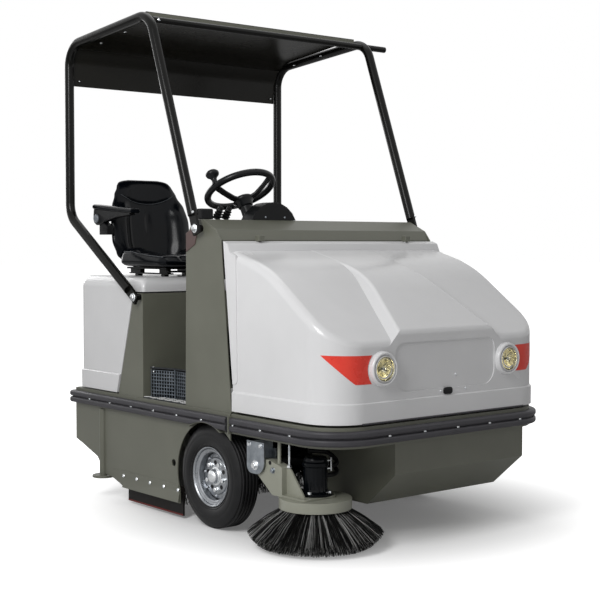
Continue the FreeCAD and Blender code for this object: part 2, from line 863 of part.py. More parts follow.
cover_half = S.body_half
cover_skirt = plan_block([
    (-cover_half, S.seat_wall_y + 2, 14),
    (cover_half, S.seat_wall_y + 2, 14),
    (cover_half, S.cover_rear + S.cover_step, 60),
    (-cover_half, S.cover_rear + S.cover_step, 60),
], S.deck_top + S.cover_gap, S.skirt_top)
cover_lip = [e for e in cover_skirt.Edges if abs(e.CenterOfMass.z - S.skirt_top) < 0.01]
cover_skirt = cover_skirt.makeChamfer(S.cover_step - 0.5, cover_lip)
cover_shell = cover_form(0).fuse(cover_skirt).cut(cover_form(S.cover_wall))
side_gap = Part.Face(Part.Wire([e.toShape() for e in rounded_loop([
    (S.seat_wall_y - 5, 0),
    (S.seat_wall_y - 5, S.seat_box_top + S.cover_gap),
    (S.seat_wall_y + 70, S.seat_box_top + S.cover_gap),
    (S.seat_wall_y + S.wing_shoulder + 10, S.cover_top - S.wing_drop),
    (S.seat_wall_y + S.wing_foot + 10, S.deck_top),
    (S.seat_wall_y + S.wing_foot + 10, 0),
])]))
gap_tool = side_gap.extrude(Vector(0, 0, 2 * S.pillar_half + 20))
gap_tool.transformShape(Placement(Vector(-S.pillar_half - 10, 0, 0), Rotation(Vector(1, 1, 1), 120)).toMatrix())
cover_shell = cover_shell.cut(gap_tool)
for sign in (-1, 1):
    ear_x = sign * (S.cover_hinge_half + 14)
    ear = Part.makeBox(
        8, S.cover_hinge_y + 8 - S.cover_rear + 2, 16, Vector(ear_x - 4, S.cover_rear - 2, S.cover_hinge_z - 8),
    )
    pin = Part.makeCylinder(
        S.cover_pin_radius, 24, Vector(ear_x, S.cover_hinge_y, S.cover_hinge_z), Vector(-sign, 0, 0),
    )
    cover_shell = cover_shell.fuse(ear).fuse(pin)
keep("rear_cover", shaped("rear_cover", cover_shell.removeSplitter()))

# Seat on the rear cover

seat_y = S.seat_y
seat_base = fuse(
    "seat_base_body",
    box(
        "seat_plate", ("driver_x - 150", "driver_x + 150"), ("seat_y - 150", "seat_y + 250"),
        ("cover_top + seat_rail_height", "cover_top + seat_rise"),
    ),
    box(
        "seat_rail_right", ("driver_x - 130", "driver_x - 100"), ("seat_y - 170", "seat_y + 150"),
        ("cover_top", "cover_top + seat_rail_height"),
    ),
    box(
        "seat_rail_left", ("driver_x + 100", "driver_x + 130"), ("seat_y - 170", "seat_y + 150"),
        ("cover_top", "cover_top + seat_rail_height"),
    ),
)
keep("seat_base", seat_base)
cushion_low = S.cover_top + S.seat_rise + S.seat_gap
keep("seat_cushion", padded(
    "seat_cushion", "YZ",
    [[
        (seat_y - 200, cushion_low, 18),
        (seat_y + 150, cushion_low, 18),
        (seat_y + 170, cushion_low + S.cushion_rise - 20, 20),
        (seat_y - 150, cushion_low + S.cushion_rise, 30),
        (seat_y - 215, cushion_low + S.cushion_rise - 35, 30),
    ]],
    "driver_x - cushion_half", "driver_x + cushion_half",
))
back_low = cushion_low
back_y = seat_y + 172
back_side = padded(
    "back_side", "YZ",
    [[
        (back_y, back_low, 20),
        (back_y + S.back_depth, back_low, 20),
        (back_y + S.back_depth + S.back_lean, S.seat_back_top, 24),
        (back_y + S.back_lean + 5, S.seat_back_top, 24),
    ]],
    "driver_x - seat_width / 2", "driver_x + seat_width / 2",
)
half_seat = S.seat_width / 2
back_front = padded(
    "back_front", "XZ",
    [[
        (S.driver_x - half_seat + 30, back_low - 1, 30),
        (S.driver_x + half_seat - 30, back_low - 1, 30),
        (S.driver_x + half_seat, back_low + 110, 80),
        (S.driver_x + half_seat, S.seat_back_top - S.back_round, 60),
        (S.driver_x + half_seat - S.back_crown, S.seat_back_top, 45),
        (S.driver_x - half_seat + S.back_crown, S.seat_back_top, 45),
        (S.driver_x - half_seat, S.seat_back_top - S.back_round, 60),
        (S.driver_x - half_seat, back_low + 110, 80),
    ]],
    seat_y + 100, seat_y + 400,
)
seat_back = doc.addObject("Part::Common", "seat_back")
seat_back.Base = back_side
seat_back.Tool = back_front
keep("seat_back", seat_back)
armrest_x = S.driver_x - half_seat
armrest_top = S.seat_back_top - S.armrest_drop
keep("armrest", fuse(
    "armrest",
    box(
        "armrest_pad", (armrest_x - 4 - S.armrest_width, armrest_x - 4),
        (seat_y + 300 - S.armrest_length, seat_y + 300), (armrest_top - S.armrest_pad, armrest_top),
    ),
    box(
        "armrest_post", (armrest_x - 12, armrest_x - S.seat_gap), (seat_y + 205, seat_y + 290),
        (armrest_top - S.armrest_post, armrest_top - S.armrest_pad + 2),
    ),
))

# Steering column, wheel, dash and controls

column_outer = along_column("column_tube", S.column_radius, -330, -62)
column_bore = along_column("column_bore", 12 + S.running_gap, -110, -60)
keep("steering_column", cut("steering_column", column_outer, column_bore))

rim_ring = doc.addObject("Part::Torus", "wheel_ring")
rim_ring.setExpression("Radius1", formula("wheel_rim_radius - wheel_rim_tube"))
rim_ring.setExpression("Radius2", formula("wheel_rim_tube"))
rim_ring.Placement = Placement(rim_centre, column_turn)
hub = along_column("wheel_hub", 34, -58, -22)
hub_pin = along_column("wheel_pin", 12, -105, -50)
spokes = []
for k, angle in enumerate((-30, 90, 210)):
    reach = S.wheel_rim_radius - S.wheel_rim_tube
    out = column_turn.multVec(Vector(math.cos(math.radians(angle)), math.sin(math.radians(angle)), 0))
    start = rim_centre - column_axis * 40 + out * 20
    end = rim_centre + out * reach
    spoke = doc.addObject("Part::Cylinder", f"wheel_spoke_{k}")
    spoke.Radius = 9
    spoke.Height = (end - start).Length
    spoke.Placement = Placement(start, Rotation(Vector(0, 0, 1), end - start))
    spokes.append(spoke)
knob_out = column_turn.multVec(Vector(-0.94, 0.34, 0)) * (S.wheel_rim_radius - S.wheel_rim_tube)
knob = doc.addObject("Part::Cylinder", "wheel_knob")
knob.Radius = 14
knob.Height = 48
knob.Placement = Placement(rim_centre + knob_out + column_axis * 8, column_turn)
keep("steering_wheel", fuse("steering_wheel", rim_ring, hub, hub_pin, *spokes, knob))

pod_line = arc_points((S.pod_x, S.pod_z), S.pod_radius, 24, 156, 9)
pod = padded("pod_body", "XZ", [pod_line], "pod_front", "pod_rear")
keep("dash_pod", cut("dash_pod", pod, along_column("pod_hole", S.column_radius + 0.3, -340, 0)))

# Footwell guard, pedal and hand controls
floor_top = S.deck_top + S.tread_plate
guard_parts = []
guard_x = S.guard_inset - S.pillar_half
for k, (start, end) in enumerate((
    (Vector(guard_x, S.seat_wall_y - 22, 0), Vector(guard_x + 40, S.pillar_rear + 169, 0)),
    (Vector(guard_x + 40, S.pillar_rear + 168, 0), Vector(guard_x + 40, S.pillar_rear + 60, 0)),
)):
    along = end - start
    holes = []
    columns = int((along.Length - S.hole_pitch) // S.hole_pitch)
    rows = int((S.guard_height - 2 * S.hole_pitch) // S.hole_pitch) + 1
    first = (along.Length - (columns - 1) * S.hole_pitch) / 2
    for column in range(columns):
        for row in range(rows):
            a = first + column * S.hole_pitch - S.hole_size / 2
            b = S.hole_pitch / 2 + row * S.hole_pitch
            corners = [
                Vector(a, b, 0), Vector(a + S.hole_size, b, 0),
                Vector(a + S.hole_size, b + S.hole_size, 0), Vector(a, b + S.hole_size, 0),
            ]
            holes.append(Part.makePolygon(corners + corners[:1]))
    edge = [
        Vector(0, 0, 0), Vector(along.Length, 0, 0),
        Vector(along.Length, S.guard_height, 0), Vector(0, S.guard_height, 0),
    ]
    panel = Part.makeFace([Part.makePolygon(edge + edge[:1])] + holes, "Part::FaceMakerBullseye")
    panel = panel.extrude(Vector(0, 0, S.guard_sheet))
    turn = math.degrees(math.atan2(along.y, along.x))
    place = Placement(start + Vector(0, 0, floor_top + S.seat_gap), Rotation(Vector(0, 0, 1), turn))
    upright = Placement(Vector(), Rotation(Vector(1, 0, 0), 90))
    guard_parts.append(shaped(f"guard_panel_{k}", panel, place * upright))
keep("footwell_guard", group("footwell_guard", *guard_parts))

pedal_line = [
    (60, floor_top + S.seat_gap),
    (84, floor_top + S.seat_gap),
    (84, floor_top + 30),
    (16, floor_top + S.pedal_rise),
    (10, floor_top + S.pedal_rise - 8),
    (60, floor_top + 40),
]
keep("foot_pedal", padded(
    "foot_pedal", "YZ", [pedal_line], "pedal_x - pedal_half", "pedal_x + pedal_half",
))

control_parts = [box(
    "switch_box",
    (f"switch_box_inset - {S.pillar_half}", f"switch_box_inset + switch_box_width - {S.pillar_half}"), ("55", "100"),
    ("console_top + seat_gap", "console_top + switch_box_rise"),
)]
lever_line = [
    (50, S.console_top + S.seat_gap),
    (90, S.console_top + S.seat_gap),
    (82, S.console_top + S.lever_rise - 28, 6),
    (64, S.console_top + S.lever_rise, 8),
    (44, S.console_top + S.lever_rise - 6, 8),
]
for k in range(2):
    x = S.lever_x + k * S.lever_pitch
    control_parts.append(padded(f"lever_{k}", "YZ", [lever_line], x - S.lever_half, x + S.lever_half))
keep("hand_controls", group("hand_controls", *control_parts))

# Roof frame

def tube_along(points, radius_bend, x):
    """Round tube with tangent bends through points in the YZ plane at x."""
    line = [Vector(x, p[0], p[1]) for p in points]
    edges = []
    at = line[0]
    for index in range(1, len(line) - 1):
        corner = line[index]
        back = (line[index - 1] - corner).normalize()
        ahead = (line[index + 1] - corner).normalize()
        half = back.getAngle(ahead) / 2
        reach = radius_bend / math.tan(half)
        first = corner + back * reach
        last = corner + ahead * reach
        towards = ((first + last) * 0.5 - corner).normalize()
        top = corner + towards * (radius_bend / math.sin(half) - radius_bend)
        edges.append(Part.LineSegment(at, first).toShape())
        edges.append(Part.Arc(first, top, last).toShape())
        at = last
    edges.append(Part.LineSegment(at, line[-1]).toShape())
    path = Part.Wire(edges)
    start_dir = (line[1] - line[0]).normalize()
    ring = Part.Wire([Part.Circle(line[0], start_dir, S.tube_radius).toShape()])
    return path.makePipeShell([ring], True, True)


for side, sign in (("right", -1), ("left", 1)):
    x = sign * S.hoop_x
    hoop = tube_along(
        [
            (S.front_bolt_y + 20, S.front_bolt_z + 54),
            (S.hoop_front_y, S.hoop_top_z),
            (S.hoop_rear_y, S.hoop_top_z - 57),
            (S.hoop_rear_y, 1278),
            (S.rear_bolt_y + 45, S.rear_bolt_z + 31),
        ],
        105.0, x,
    )
    tongues = []
    for y, z, rise_y, rise_z in (
        (S.front_bolt_y, S.front_bolt_z, 0.354, 0.935),
        (S.rear_bolt_y, S.rear_bolt_z, 0.823, 0.568),
    ):
        along = Vector(0, rise_y, rise_z)
        tongue = Part.makeBox(12, 44, 90, Vector(-6, -22, -24))
        tongue.transformShape(Placement(Vector(x, y, z), Rotation(Vector(0, 0, 1), along)).toMatrix())
        boss = Part.makeCylinder(14, S.hoop_x - S.pillar_half, Vector(x, y, z), Vector(-sign, 0, 0))
        hoop = hoop.fuse(tongue).fuse(boss)
    keep(f"cage_{side}", shaped(f"cage_{side}", hoop.removeSplitter()))

bar_place = (S.hoop_front_y + 13.7, S.hoop_top_z - 21.6)
keep("canopy_bars", group(
    "canopy_bars",
    rod("front_bar", "x", "bar_radius", "tube_radius - hoop_x + 0.3", "hoop_x - tube_radius - 0.3", bar_place),
    rod("bar_stub", "x", "bar_radius", "hoop_x + tube_radius + 0.3", "hoop_x + 135", bar_place),
))

roof_line = [
    (S.roof_front_y, S.hoop_top_z - 12),
    (S.roof_front_y, S.hoop_top_z + 16),
    (S.hoop_rear_y - 130, S.hoop_top_z - 36),
    (S.hoop_rear_y - 35, S.hoop_top_z - 72),
    (S.hoop_rear_y - 2, S.hoop_top_z - 140),
    (S.hoop_rear_y + 4, S.roof_skirt_z),
]
keep("canopy_sheet", padded(
    "canopy_sheet", "YZ", [folded(roof_line, S.roof_sheet)],
    "tube_radius + 0.3 - hoop_x", "hoop_x - tube_radius - 0.3",
))

# Front unit: hopper frame, rubber bumper and hopper box

def ring_points(half, reach, back, sign):
    """U-shaped plan line round the front (sign -1) or the rear (sign 1) of the machine."""
    corner = S.plan_corner - (S.body_half - half) if sign < 0 else 0
    return [(-half, back), (-half, reach, corner), (half, reach, corner), (half, back)]


def plan_ring(half, thickness, low, high, reach):
    """Flat ring round the front of the machine, open at the split."""
    back = S.split_y - S.unit_gap
    outside = ring_points(half, reach, back, -1)
    inside = ring_points(half - thickness, reach + thickness + 12, back, -1)
    return plan_block(outside + list(reversed(inside)), low, high)


def rubber_strip(reach, back, sign):
    """Bumper strip with two round bulges and a groove, led round the plan line."""
    half = S.body_half + S.seat_gap
    path = Part.Wire([e.toShape() for e in rounded_loop(ring_points(half, reach, back, sign))[:-1]])
    depth = S.rubber_depth
    groove = S.rubber_depth - S.rubber_proud
    middle = (S.rubber_bottom + S.rubber_top) / 2
    section = [
        (0, S.rubber_bottom),
        (depth, S.rubber_bottom, 9),
        (depth, middle - 2, 9),
        (groove, middle - 2),
        (groove, middle + 2),
        (depth, middle + 2, 9),
        (depth, S.rubber_top, 9),
        (0, S.rubber_top),
    ]
    wire = Part.Wire([e.toShape() for e in rounded_loop(section)])
    wire.transformShape(Placement(Vector(-half, back, 0), Rotation(Vector(1, 0, 0), 90)).toMatrix())
    mirrored = wire.mirror(Vector(-half, back, 0), Vector(1, 0, 0))
    round_corner = 2
    return path.makePipeShell([mirrored], True, False, round_corner)


frame_front = S.front_y + 3
frame_ring = plan_ring(S.body_half, 30, S.ledge_bottom, S.deck_top - 2, frame_front)
arch_tool = Part.makeCylinder(
    S.tyre_radius + S.arch_gap + 3 + S.seat_gap, 2 * S.body_half + 100, Vector(-S.body_half - 50, 0, S.tyre_radius), Vector(1, 0, 0),
)
bracket_x = S.arm_x - S.arm_thickness / 2 - 6
beam_front = S.split_y - S.unit_gap - 30
back_beam = Part.makeBox(2 * bracket_x, 30, 60, Vector(-bracket_x, beam_front, S.ledge_bottom + 18))
frame = frame_ring.fuse(back_beam)
for sign in (-1, 1):
    tab = Part.makeBox(8, 74, 68, Vector(sign * (bracket_x - 4) - 4, S.arm_end_y - 30, S.ledge_bottom + 8))
    pin = Part.makeCylinder(
        S.arm_pin_radius, 36, Vector(sign * (bracket_x - 4), S.arm_end_y, S.arm_end_z), Vector(sign, 0, 0),
    )
    frame = frame.fuse(tab).fuse(pin)
keep("hopper_frame", shaped("hopper_frame", frame.cut(arch_tool).removeSplitter()))

carrier_line = [(S.split_y - 16, S.deck_top - 2), (-114, 1100)]
carrier_sheet = padded(
    "carrier_sheet", "YZ", [folded(carrier_line, S.sheet_metal)], "20 - arm_x", "arm_x - 20",
)
hood_lugs = []
for side, sign in (("right", -1), ("left", 1)):
    x = sign * (S.hood_clip_half + 11)
    lug_line = [
        (-118, 1070),
        (S.hood_hinge_y + 7, 1130),
        (S.hood_hinge_y + 7, S.hood_hinge_z - 8),
        (S.hood_hinge_y - 8, S.hood_hinge_z - 8),
        (S.hood_hinge_y - 8, S.hood_hinge_z + 8),
        (S.hood_hinge_y + 11, S.hood_hinge_z + 8),
        (S.hood_hinge_y + 11, 1120),
        (-106, 1070),
    ]
    hood_lugs.append(padded(f"hood_lug_{side}", "YZ", [lug_line], x - 3, x + 3))
hood_bore = rod(
    "hood_bore", "x", "hood_pin_radius + running_gap", "-hood_clip_half - 20", "hood_clip_half + 20",
    ("hood_hinge_y", "hood_hinge_z"),
)
keep("hood_carrier", cut("hood_carrier", fuse("carrier_body", carrier_sheet, *hood_lugs), hood_bore))

front_back = S.split_y - S.unit_gap
front_rubber = rubber_strip(frame_front - S.seat_gap, front_back, -1)
keep("front_bumper", shaped("front_bumper", front_rubber.cut(arch_tool)))
rear_rubber = rubber_strip(S.rear_y + S.seat_gap, S.split_y, 1)
keep("rear_bumper", shaped("rear_bumper", rear_rubber.cut(arch_tool)))

# Hopper box: open at the top and at the back
front = S.box_front
box_line = [
    (front, S.ledge_bottom),
    (front, 278),
    (front + 157, S.box_bottom),
    (-235, S.box_bottom),
]
pan = padded("hopper_pan", "YZ", [folded(box_line, S.hopper_sheet)], "box_right", "box_left")
cheek_line = [
    (front, S.ledge_bottom),
    (front, 278),
    (front + 157, S.box_bottom),
    (-235, S.box_bottom),
    (-235, 380),
    (beam_front + 26, 396),
    (beam_front + 26, S.ledge_bottom + 18),
    (-230, S.ledge_bottom + 18),
    (-262, S.ledge_bottom),
]
cheek_right = padded("hopper_cheek_right", "YZ", [cheek_line], "box_right", "box_right + hopper_sheet")
cheek_left = padded("hopper_cheek_left", "YZ", [cheek_line], "box_left - hopper_sheet", "box_left")
keep("hopper_box", fuse("hopper_box", pan, cheek_right, cheek_left))

# Lift arms of the front unit
arm_dy = S.arm_end_y - S.arm_pivot_y
arm_dz = S.arm_end_z - S.arm_pivot_z
arm_length = math.hypot(arm_dy, arm_dz)
arm_turn = Rotation(Vector(0, 0, 1), Vector(0, arm_dy, arm_dz))
arms = []
for side, sign in (("right", -1), ("left", 1)):
    half = S.arm_thickness / 2
    outline = [(-25, -25, 20), (25, -25, 20), (25, arm_length + 25, 20), (-25, arm_length + 25, 20)]
    bar = Part.Face(Part.Wire([e.toShape() for e in rounded_loop(outline)])).extrude(Vector(0, 0, S.arm_thickness))
    bar.rotate(Vector(), Vector(1, 1, 1), 120)
    bar.translate(Vector(-half, 0, 0))
    bore = S.arm_pin_radius + S.running_gap
    for height in (0, arm_length):
        bar = bar.cut(Part.makeCylinder(bore, S.arm_thickness + 2, Vector(-half - 1, 0, height), Vector(1, 0, 0)))
    place = Placement(Vector(sign * S.arm_x, S.arm_pivot_y, S.arm_pivot_z), arm_turn)
    arms.append(shaped(f"lift_arm_{side}", bar, place))
keep("lift_arms", group("lift_arms", *arms))

# Front hood: sloping top, raised spine, rear flange and skirt, moulded as one shell

hood_face = S.front_y + 6


def hood_plan(inset):
    """Upright block on the hood's plan outline."""
    half = S.hood_half - S.flange_proud - inset
    face = hood_face + inset
    corner = S.plan_corner - 20 - inset
    return plan_block([(-half, 100), (-half, face, corner), (half, face, corner), (half, 100)], 0, 1400)


def hood_slab(inset, rear_z, bend, front_z, low):
    """Slab across the hood under a top line that falls to front_z at its face and on past it."""
    back = S.flange_foot_y + (40 if inset else 0)
    bend_y, bend_z, bend_radius = bend
    run = 60
    fall = (bend_z - front_z) / (bend_y - hood_face)
    return side_block([
        (S.split_y - 8 + back - S.flange_foot_y, low),
        (back, rear_z - inset),
        (bend_y, bend_z - inset, bend_radius),
        (hood_face + inset - run, front_z - inset - run * fall),
        (hood_face + inset - run, low),
    ], S.hood_half)


def hood_form(inset):
    """Outer form of the hood with its moulded rounds, or its hollow when inset is the wall."""
    plan = hood_plan(inset)
    top = hood_slab(
        inset, S.flange_foot_z, (S.hood_bend_y, S.hood_bend_z, S.hood_bend), S.hood_crease_z,
        S.hood_bottom - (20 if inset else 0),
    ).common(plan)
    rims = [
        e for e in top.Edges
        if e.BoundBox.ZMin > S.skirt_top and e.BoundBox.YMax < S.split_y + 50
        and (e.BoundBox.ZLength > 1 or e.CenterOfMass.y < hood_face + 10)
        and (e.BoundBox.XLength > 1 or abs(e.CenterOfMass.x) > S.hood_half - 20)
        and e.BoundBox.YMax - e.BoundBox.YMin + e.BoundBox.XLength > 1
    ]
    top = top.makeFillet(S.hood_round - inset, rims)
    spine = hood_slab(
        inset, S.flange_foot_z + 2, (S.spine_bend_y, S.spine_bend_z, 700), S.spine_front_z,
        S.hood_crease_z - 100,
    ).common(plan)
    for sign in (-1, 1):
        rear = Vector(sign * (S.spine_rear_half - inset), S.flange_foot_y, S.flange_foot_z)
        front = Vector(sign * (S.spine_front_half - inset), hood_face, S.spine_front_z)
        along = (front - rear).normalize() * 200
        fall = Vector(sign * 300, 0, -300)
        corners = [rear - along - fall, front + along - fall, front + along + fall, rear - along + fall]
        flank = Part.Face(Part.makePolygon(corners + corners[:1])).extrude(Vector(sign * 500, 0, 500))
        spine = spine.cut(flank)
    ridges = [
        e for e in spine.Edges
        if e.BoundBox.ZMin > S.hood_crease_z and abs(e.CenterOfMass.x) < S.spine_front_half + 5
        and (e.BoundBox.YLength > 20 or e.BoundBox.YMax < hood_face + inset + 1)
    ]
    spine = spine.makeFillet(S.spine_round - inset, ridges)
    return top.fuse(spine)


flange_line = [
    (S.split_y - 8, S.skirt_top + 26),
    (S.console_front_y - 14, S.hood_top),
    (S.flange_front_y, S.hood_top - 10, 8),
    (S.flange_foot_y, S.flange_foot_z - 6),
    (S.flange_side_y, S.flange_foot_z - 20),
    (S.flange_side_y - 8, S.skirt_top + 26, 20),
]
flange = side_block(flange_line, S.hood_half)
flange = flange.cut(side_block([
    (S.split_y + 60, S.hood_bottom - 40),
    (S.console_front_y + 60, S.hood_top - S.hood_wall),
    (S.flange_front_y + 4, S.hood_top - 10 - S.hood_wall),
    (S.flange_foot_y + 4, S.flange_foot_z - 6 - S.hood_wall),
    (S.flange_foot_y - 90, S.flange_foot_z - 34 - S.hood_wall),
    (S.flange_foot_y - 120, S.hood_bottom - 40),
], S.hood_half - S.flange_proud - S.hood_wall))
skirt_half = S.hood_half + S.skirt_proud
skirt_corner = S.plan_corner - 20 + S.skirt_proud
skirt = plan_block([
    (-skirt_half, S.split_y - 8),
    (-skirt_half, hood_face - S.skirt_proud, skirt_corner),
    (skirt_half, hood_face - S.skirt_proud, skirt_corner),
    (skirt_half, S.split_y - 8),
], S.hood_bottom, S.skirt_top)
lip = [e for e in skirt.Edges if abs(e.CenterOfMass.z - S.skirt_top) < 0.01 and e.CenterOfMass.y < S.split_y - 9]
skirt = skirt.makeChamfer(S.skirt_proud + S.flange_proud - 0.5, lip)
panel = Part.Face(Part.Wire([e.toShape() for e in rounded_loop([
    (-S.panel_half, S.panel_bottom, 60),
    (S.panel_half, S.panel_bottom, 60),
    (S.panel_half, S.panel_top, 40),
    (-S.panel_half, S.panel_top, 40),
])]))
panel.transformShape(Placement(Vector(0, hood_face - 1, 0), Rotation(Vector(1, 0, 0), 90)).toMatrix())
panel_cut = panel.extrude(Vector(0, S.panel_depth + 1, 0))
backing = panel.extrude(Vector(0, S.panel_depth + S.hood_wall + 1, 0))
hollow = hood_form(S.hood_wall).cut(backing)
hood = hood_form(0).fuse(skirt).cut(hollow).fuse(flange).cut(panel_cut)
for sign in (-1, 1):
    at = Vector(sign * S.lamp_half, hood_face + S.hood_wall, S.lamp_z)
    out = Vector(0, -1, 0)
    pod = Part.makeCylinder(S.lamp_radius, S.hood_wall + S.pod_proud, at, out)
    brow = [e for e in pod.Edges if e.CenterOfMass.y < hood_face - S.pod_proud + 1]
    pod = pod.makeFillet(S.pod_proud / 2, brow)
    eye = Part.makeCylinder(S.reflector_radius + S.seat_gap, S.pod_proud + 40, at + Vector(0, 20, 0), out)
    hood = hood.fuse(pod).cut(eye)
for sign in (-1, 1):
    ear = Part.makeBox(6, 16, 30, Vector(sign * S.hood_clip_half - 3, S.hood_hinge_y - 12, S.hood_hinge_z - 22))
    pin = Part.makeCylinder(
        S.hood_pin_radius, 18, Vector(sign * (S.hood_clip_half - 1), S.hood_hinge_y, S.hood_hinge_z), Vector(sign, 0, 0),
    )
    hood = hood.fuse(ear).fuse(pin)
keep("hood_shell", shaped("hood_shell", hood.removeSplitter()))

lamps = []
for side, sign in (("right", -1), ("left", 1)):
    depth = S.hood_wall + S.pod_proud - 4
    lamp_line = [
        (0, 0),
        (S.reflector_radius, 0),
        (S.reflector_radius, depth),
        (S.reflector_radius - 3, depth),
        (S.reflector_radius - 8, depth - 6),
        (14, 5, 10),
        (0, 3),
    ]
    dish = Part.Face(Part.Wire([e.toShape() for e in rounded_loop(lamp_line)]))
    dish = dish.revolve(Vector(), Vector(0, 1, 0), 360)
    place = Placement(Vector(sign * S.lamp_half, hood_face + S.hood_wall, S.lamp_z), Rotation(Vector(0, 0, 1), 180))
    lamps.append(shaped(f"lamp_{side}", dish, place))
keep("head_lamps", group("head_lamps", *lamps))

# Side brush: carrier on the chassis, arm, motor and cap
carrier_bar = box(
    "carrier_bar", (-inner_x, 10 - inner_x), ("brush_pivot_y", "5 - hanger_half"),
    ("brush_pivot_z + 6", "brush_pivot_z + 56"),
)
carrier_cross = box(
    "carrier_cross", ("carrier_plate_x", 10 - inner_x), ("brush_pivot_y + 24", "brush_pivot_y + 34"),
    ("brush_pivot_z - 32", "carrier_top"),
)
plate_line = [
    (S.brush_pivot_y + S.carrier_half, S.carrier_top),
    (S.brush_pivot_y + S.carrier_half, S.brush_pivot_z - 34, 30),
    (S.brush_pivot_y - S.carrier_half, S.brush_pivot_z - 34, 50),
    (S.brush_pivot_y - S.carrier_half, S.carrier_top),
]
carrier_plate = padded("carrier_plate", "YZ", [plate_line], "carrier_plate_x", "carrier_plate_x + 6")
pivot_pin = rod(
    "brush_pivot_pin", "x", "brush_shaft_radius", "carrier_plate_x + 4", "arm_inner_x + 4",
    ("brush_pivot_y", "brush_pivot_z"),
)
keep("brush_carrier", fuse("brush_carrier", carrier_bar, carrier_cross, carrier_plate, pivot_pin))

plate_z = S.brush_cap_rim + S.cap_height
motor_z = plate_z + 8
motor_line = [
    (0, 0),
    (S.motor_flange, 0),
    (S.motor_flange, 12),
    (S.motor_radius, 16),
    (S.motor_radius, S.motor_top - motor_z - 20),
    (S.motor_radius - 4, S.motor_top - motor_z - 14),
    (S.motor_cap, S.motor_top - motor_z - 12),
    (S.motor_cap, S.motor_top - motor_z - 3),
    (S.motor_cap - 4, S.motor_top - motor_z),
    (0, S.motor_top - motor_z),
]
motor = Part.Face(Part.Wire([e.toShape() for e in rounded_loop(motor_line)])).revolve(Vector(), Vector(0, 1, 0), 360)
keep("brush_motor", shaped(
    "brush_motor", motor, Placement(Vector(S.brush_x, S.brush_y, motor_z), Rotation(Vector(1, 0, 0), 90)),
))
arm_line = [
    (S.brush_pivot_y + 22, S.brush_pivot_z - 22, 20),
    (S.brush_pivot_y + 22, S.brush_pivot_z + 22, 20),
    (S.brush_pivot_y - 70, S.brush_pivot_z + 28, 10),
    (S.brush_pivot_y - 150, S.brush_pivot_z + 10, 10),
    (S.brush_pivot_y - 150, plate_z),
    (S.brush_pivot_y - 90, plate_z),
]
arm_block = padded("arm_block", "YZ", [arm_line], "arm_outer_x", "arm_inner_x")
motor_plate = padded(
    "motor_plate", "XY",
    [[
        (S.arm_outer_x, S.brush_pivot_y - 100),
        (S.brush_x + 70, S.brush_y + 60, 30),
        (S.brush_x + 70, S.brush_y - 60, 40),
        (S.arm_outer_x, S.brush_y - 60, 20),
    ]],
    plate_z, motor_z, circles=[(S.brush_x, S.brush_y, 22)],
)
gusset = padded(
    "arm_gusset", "YZ",
    [[
        (S.brush_pivot_y - 140, plate_z),
        (S.brush_pivot_y - 140, S.brush_pivot_z + 4, 12),
        (S.brush_pivot_y - 170, S.brush_pivot_z + 4, 12),
        (S.brush_y - 30, plate_z + 12),
        (S.brush_y - 30, plate_z),
    ]],
    "arm_outer_x + 24", "arm_outer_x + 32",
)
stud = rod(
    "arm_stud", "z", "7", "brush_pivot_z", "carrier_top + 6", ("arm_outer_x + 20", "brush_pivot_y - 110"),
)
arm_bore = rod(
    "arm_bore", "x", "brush_shaft_radius + running_gap", "arm_outer_x - 6", "arm_inner_x + 12",
    ("brush_pivot_y", "brush_pivot_z"),
)
keep("brush_arm", cut("brush_arm", fuse("arm_body", arm_block, motor_plate, gusset, stud), arm_bore))

keep("brush_cap", cut(
    "brush_cap",
    rod("cap_drum", "z", "brush_cap_radius", S.brush_cap_rim, plate_z - S.seat_gap, ("brush_x", "brush_y")),
    rod("cap_hollow", "z", "brush_cap_radius - 4", S.brush_cap_rim - 1, plate_z - 5, ("brush_x", "brush_y")),
    rod("cap_bore", "z", "brush_hub_radius + running_gap", S.brush_cap_rim, plate_z + 1, ("brush_x", "brush_y")),
))

TUFTS = 30
brush_centre = Vector(S.brush_x, S.brush_y, 0)
plate_low = S.brush_cap_rim - 6
bristles = Part.makeCylinder(S.brush_cap_radius - 16, 12, brush_centre + Vector(0, 0, plate_low))
bristles = bristles.fuse(Part.makeCylinder(S.brush_hub_radius, motor_z - 2 - plate_low, brush_centre + Vector(0, 0, plate_low)))
for k in range(TUFTS):
    angle = 2 * math.pi * k / TUFTS
    out = Vector(math.cos(angle), math.sin(angle), 0)
    root = brush_centre + Vector(0, 0, plate_low + 3) + out * (S.brush_cap_radius - 34)
    tip = brush_centre + Vector(0, 0, S.brush_tip_z + 4) + out * (S.brush_tip_radius - 12)
    place = Placement(root, Rotation(Vector(0, 0, 1), tip - root))
    ends = []
    for half, height in ((S.tuft_radius, 0), (S.tuft_spread, (tip - root).Length)):
        corners = [Vector(a * half, b * half, height) for a, b in ((-1, -1), (1, -1), (1, 1), (-1, 1))]
        outline = Part.makePolygon(corners + corners[:1])
        outline.transformShape(place.toMatrix())
        ends.append(outline)
    bristles = bristles.fuse(Part.makeLoft(ends, True, True))
keep("side_bristles", shaped("side_bristles", bristles))

doc.recompute()

for obj in doc.Objects:
    if "Invalid" in obj.State or "Error" in obj.State:
        raise RuntimeError(f"{obj.Label} failed: {obj.State}")
for node, obj in finished.items():
    shape = obj.Shape
    if shape.isNull() or not shape.isValid() or not shape.Solids:
        raise RuntimeError(f"{node} has no valid solid")
    shape.exportStep(f"parts/{node}.step")
    print(node, len(shape.Solids), round(shape.Volume / 1e6, 2))
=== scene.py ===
"""Looks of a compact road sweeper: finishes, fittings, seat, bristles, light and camera."""
import bmesh
import bpy
import json
import random
from math import acos, asin, atan2, cos, exp, pi, radians, sin, sqrt, tau
from mathutils import Matrix, Vector
from mathutils.bvhtree import BVHTree

